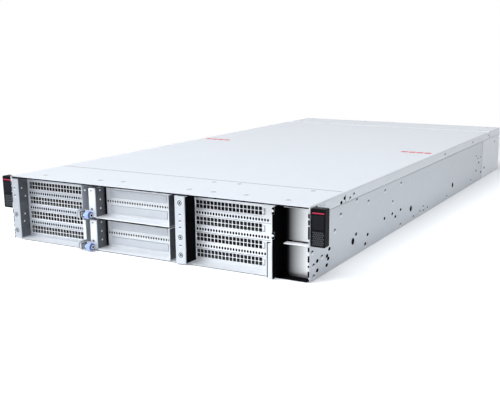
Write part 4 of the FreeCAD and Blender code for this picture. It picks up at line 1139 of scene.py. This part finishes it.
class SERVER_OT_board(bpy.types.Operator):
    """Fill the main board with memory modules, coils, capacitors, chips and sockets."""

    bl_idname = "server.board"
    bl_label = "Fill board"

    def execute(self, context):
        for side in ("left", "right"):
            self.memory(side)

        def on_board(name, tree, spots, radius):
            repeated(name, tree, [(x, y, BOARD_TOP) for x, y in spots], UP, radius)

        middles = (-109, 109)
        spots = [(x + 10.5 * (step - 4), -16) for x in middles for step in range(9)]
        on_board("power_coils", "Coil", spots, 1.0)
        spots = [(x + 9.2 * (step - 5), y) for x in middles for step in range(11) for y in (-31, -42)]
        on_board("capacitors", "Capacitor", spots, 3.4)
        spots = [(-170, 170), (-96, 228), (-20, 176), (34, 240), (96, 176)]
        spots += [(-150, 300), (-60, 330), (60, 320), (110, 228)]
        on_board("board_chips", "Chip", spots, 8)
        spots = [(-190 + 13 * step, 158 + 9 * (step % 3)) for step in range(24)]
        on_board("small_chips", "Chip", spots, 2.6)
        on_board("board_cell", "Capacitor", [(56, 196)], 5.0)
        sockets = [((c.x - 7, -70, BOARD_TOP), (c.x + 7, -64.5, BOARD_TOP + 9)) for c in FANS.values()]
        sockets += [((x, 260, BOARD_TOP), (x + 7, 350, BOARD_TOP + 11)) for x in (-196, -172, 40, 64)]
        blocks("board_sockets", sockets, "white_plastic", "chassis", bevel=0.4)
        return {"FINISHED"}

    def memory(self, side):
        """Memory boards of one side with their chips and latches."""
        node = f"{side}_memory"
        low, high = box(node)
        edges = sorted({round(v.co.x / MM, 2) for v in frame["nodes"][node].data.vertices})
        centres = [(a + b) / 2 for a, b in zip(edges[::2], edges[1::2])]
        y, z = (low.y + high.y) / 2, (low.z + high.z) / 2
        boards = repeated(f"{side}_memory_boards", "MemoryBoard", [(x, y, z) for x in centres], UP, 1.0)
        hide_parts(node)
        rows = [y + 14.2 * (step - 4) for step in range(9)]
        places = [(x + skin, row, z + 3) for x in centres for skin in (-1.1, 1.1) for row in rows]
        repeated(f"{side}_memory_chips", "MemoryChip", places, UP, 1.0)
        places = [(x, end, low.z + 2.5) for x in centres for end in (low.y - 2.6, high.y + 2.6)]
        repeated(f"{side}_memory_latches", "SocketLatch", places, UP, 1.0)


class SERVER_OT_cards(bpy.types.Operator):
    """Add power sockets, trim and screws to the accelerator cards."""

    bl_idname = "server.cards"
    bl_label = "Trim cards"

    def execute(self, context):
        low, high = box("card_shrouds")
        face = high.z + context.scene.server_finish.lift / MM
        inset = 13.8
        spans = ((low.x, box("left_cage")[1].x - inset), (box("centre_column")[0].x + inset, high.x))
        sockets, trim, screws = [], [], []
        for left, right in spans:
            for bottom in (low.z, high.z - 36.8):
                for step in (0.2, 0.42):
                    x = left + (right - left) * step
                    sockets.append(((x, high.y - 3, bottom + 22), (x + 19, high.y + 6, bottom + 31)))
            for x in (left + 7, right - 8.2):
                trim.append(((x, low.y + 8, high.z), (x + 1.2, high.y - 8, high.z + 0.3)))
            screws += [(x, low.y + y, face) for x in (left + 4, right - 4) for y in (30, 130, 232)]
        blocks("card_sockets", sockets, "chip_black", "chassis", bevel=0.5)
        blocks("card_trim", trim, "fin_metal", "chassis")
        repeated("card_screws", "FlushScrew", screws, UP, 2.0)
        return {"FINISHED"}


class SERVER_OT_rear(bpy.types.Operator):
    """Add the rear screws, pin holes, socket tongues and status lenses."""

    bl_idname = "server.rear"
    bl_label = "Detail rear"

    def execute(self, context):
        finish = context.scene.server_finish
        back = (0, 1, 0)
        face = REAR + finish.lift / MM
        places = [(x, face, z) for x in (-216, -108, 132) for z in (10, 79)]
        repeated("rear_screws", "FlushScrew", places, back, finish.screw_radius / MM)
        slots = box("rear_slot_brackets")[0]
        columns = [slots.x + 6 + finish.dot_pitch / MM * step for step in range(23)]
        rows = [slots.z + 9.3 + SLOT_PITCH * (row + 0.5) for row in range(2)]
        places = [(x, face, z) for z in rows for x in columns]
        repeated("rear_pin_holes", "PinHole", places, back, finish.dot_radius / MM)
        ports_low, ports_high = box("rear_ports")
        middle = (ports_low.z + ports_high.z) / 2
        ports = [ports_low.x + 8 + 24 * step for step in range(5)]
        tongues = [((x - 4.4, REAR - 17, middle - 0.9), (x + 4.4, REAR - 3, middle + 0.9)) for x in ports]
        blocks("port_tongues", tongues, "chip_black", "chassis")
        inset = 2.4
        for tier in TIERS:
            low, high = box(f"{tier}_psu_case")
            lens = [(high.x - 34, REAR, high.z - 5)]
            repeated(f"{tier}_psu_lens", "StatusLens", lens, back, 1.6, f"{tier}_psu")
            across, heights = (low.x + inset, high.x - inset), (low.z + inset, high.z - inset)
            corners = [(x, face, z) for x in across for z in heights]
            repeated(f"{tier}_psu_screws", "FlushScrew", corners, back, 1.3, f"{tier}_psu")
        return {"FINISHED"}


class SERVER_OT_stage(bpy.types.Operator):
    """Set the floor, the lights, the white surroundings and the camera."""

    bl_idname = "server.stage"
    bl_label = "Set stage"

    def execute(self, context):
        stage = context.scene.server_stage
        scene = context.scene
        scene.view_settings.view_transform = "Standard"
        self.surround(scene, stage)
        self.floor()
        self.area("overhead", (-0.1, -0.9, 1.9), (0, -0.1, 0), (2.2, 2.2), stage.overhead)
        self.area("front_left", (-0.9, -1.9, 1.5), (0, -0.4, 0.05), (1.2, 1.0), stage.front_light)
        self.area("right_rear", (2.0, 1.2, 0.7), (0.2, 0.2, 0.04), (1.4, 1.0), stage.side_light)
        self.camera(scene, stage)
        return {"FINISHED"}

    def surround(self, scene, stage):
        """A sky that is bright to the left and rear, dim to the right, and plain white to the camera."""
        world = bpy.data.worlds.new("Studio")
        scene.world = world
        world.use_nodes = True
        tree = world.node_tree
        way = add(tree, "ShaderNodeTexCoord")
        bright_way = {0: (way, "Generated"), 1: (-0.42, 0.87, 0.26)}
        facing = add(tree, "ShaderNodeVectorMath", bright_way, operation="DOT_PRODUCT")
        levels = {"From Min": 0.2, "From Max": 0.9, "To Min": 0.12, "To Max": stage.ambient}
        fade = add(tree, "ShaderNodeMapRange", {"Value": (facing, "Value"), **levels})
        sky = find(tree, "BACKGROUND")
        put(tree, sky, {"Color": (0.90, 0.95, 1.0, 1.0), "Strength": (fade, "Result")})
        white = add(tree, "ShaderNodeBackground", {"Color": WHITE, "Strength": 1.0})
        shown = {0: self.seen(tree), 1: (sky, "Background"), 2: (white, "Background")}
        pick = add(tree, "ShaderNodeMixShader", shown)
        put(tree, find(tree, "OUTPUT_WORLD"), {"Surface": (pick, "Shader")})

    def seen(self, tree):
        """A mask that is one for the camera and for mirrored and refracted views."""
        ray = add(tree, "ShaderNodeLightPath")
        mirrored = calc(tree, "MAXIMUM", (ray, "Is Glossy Ray"), (ray, "Is Transmission Ray"))
        return calc(tree, "MAXIMUM", (ray, "Is Camera Ray"), mirrored)

    def floor(self):
        """A pale floor that fades out into the white surroundings."""
        tree, surface = new_material("pale_floor")
        grain = group(tree, "FineTexture", Scale=60.0, Depth=0.0)
        tint = blend(tree, (grain, "Value"), (0.97, 0.97, 0.97, 1.0), WHITE)
        glow = calc(tree, "MULTIPLY", self.seen(tree), 0.13)
        looks = {"Base Color": tint, "Roughness": 0.9, "Emission Color": WHITE, "Emission Strength": glow}
        put(tree, surface, looks)
        place = add(tree, "ShaderNodeTexCoord")
        narrow = add(tree, "ShaderNodeMapping", {"Vector": (place, "Object"), "Scale": (1.6, 1.0, 1.0)})
        reach = add(tree, "ShaderNodeVectorMath", {0: (narrow, "Vector")}, operation="LENGTH")
        span = {"Value": (reach, "Value"), "From Min": 0.5, "From Max": 1.3}
        fade = add(tree, "ShaderNodeMapRange", span, interpolation_type="SMOOTHSTEP")
        clear = add(tree, "ShaderNodeBsdfTransparent")
        layers = {0: (fade, "Result"), 1: (surface, "BSDF"), 2: (clear, "BSDF")}
        mix = add(tree, "ShaderNodeMixShader", layers)
        put(tree, find(tree, "OUTPUT_MATERIAL"), {"Surface": (mix, "Shader")})
        half, depth, gap = 2000, 10, 0.2

        def build(shape):
            block(shape, (-half, -half, -depth), (half, half, -gap))

        mesh_from("floor", build, "pale_floor")

    def area(self, name, place, target, size, power):
        """A soft rectangular light aimed at a point."""
        data = bpy.data.lights.new(name, "AREA")
        data.shape = "RECTANGLE"
        data.size, data.size_y = size
        data.energy = power
        data.color = (0.94, 0.97, 1.0)
        lamp = plain_object(name, data)
        aim = (Vector(target) - Vector(place)).to_track_quat("-Z", "Y")
        lamp.matrix_world = Matrix.Translation(place) @ aim.to_matrix().to_4x4()
        lamp.visible_glossy = False

    def camera(self, scene, stage):
        """The camera at the photograph's place, direction and lens."""
        data = bpy.data.cameras.new("photo_camera")
        data.sensor_width = 36.0
        data.lens = stage.lens
        data.shift_x, data.shift_y = stage.shift
        camera = plain_object("photo_camera", data)
        level, east = math.cos(stage.elevation), -math.sin(stage.azimuth)
        ahead = Vector((east * level, math.cos(stage.azimuth) * level, -math.sin(stage.elevation)))
        right = ahead.cross(Vector(UP)).normalized()
        turn = Matrix((right, right.cross(ahead), -ahead)).transposed().to_4x4()
        camera.matrix_world = Matrix.Translation(Vector(stage.place)) @ turn
        scene.camera = camera


class SERVER_PT_panel(bpy.types.Panel):
    """Sidebar panel with each step and the sizes that it reads."""

    bl_idname = "SERVER_PT_panel"
    bl_label = "Server"
    bl_space_type = "VIEW_3D"
    bl_region_type = "UI"
    bl_category = "Server"

    def draw(self, context):
        for step in STEPS:
            self.layout.operator(step.bl_idname)
        for settings in (context.scene.server_finish, context.scene.server_stage):
            for prop in settings.bl_rna.properties:
                if prop.identifier not in {"rna_type", "name"}:
                    self.layout.prop(settings, prop.identifier)


STEPS = (
    SERVER_OT_materials,
    SERVER_OT_sheets,
    SERVER_OT_fasteners,
    SERVER_OT_slots,
    SERVER_OT_linings,
    SERVER_OT_ears,
    SERVER_OT_marks,
    SERVER_OT_plungers,
    SERVER_OT_fans,
    SERVER_OT_board,
    SERVER_OT_cards,
    SERVER_OT_rear,
    SERVER_OT_stage,
)
CLASSES = (ServerFinish, ServerStage) + STEPS + (SERVER_PT_panel,)


def register():
    for item in CLASSES:
        bpy.utils.register_class(item)
    bpy.types.Scene.server_finish = PointerProperty(type=ServerFinish)
    bpy.types.Scene.server_stage = PointerProperty(type=ServerStage)


def unregister():
    del bpy.types.Scene.server_stage
    del bpy.types.Scene.server_finish
    for item in reversed(CLASSES):
        bpy.utils.unregister_class(item)


def main():
    register()
    bpy.ops.server.materials()
    bpy.ops.server.sheets()
    bpy.ops.server.fasteners()
    bpy.ops.server.slots()
    bpy.ops.server.linings()
    bpy.ops.server.ears()
    bpy.ops.server.marks()
    bpy.ops.server.plungers()
    bpy.ops.server.fans()
    bpy.ops.server.board()
    bpy.ops.server.cards()
    bpy.ops.server.rear()
    bpy.ops.server.stage()


if __name__ == "__main__":
    main()
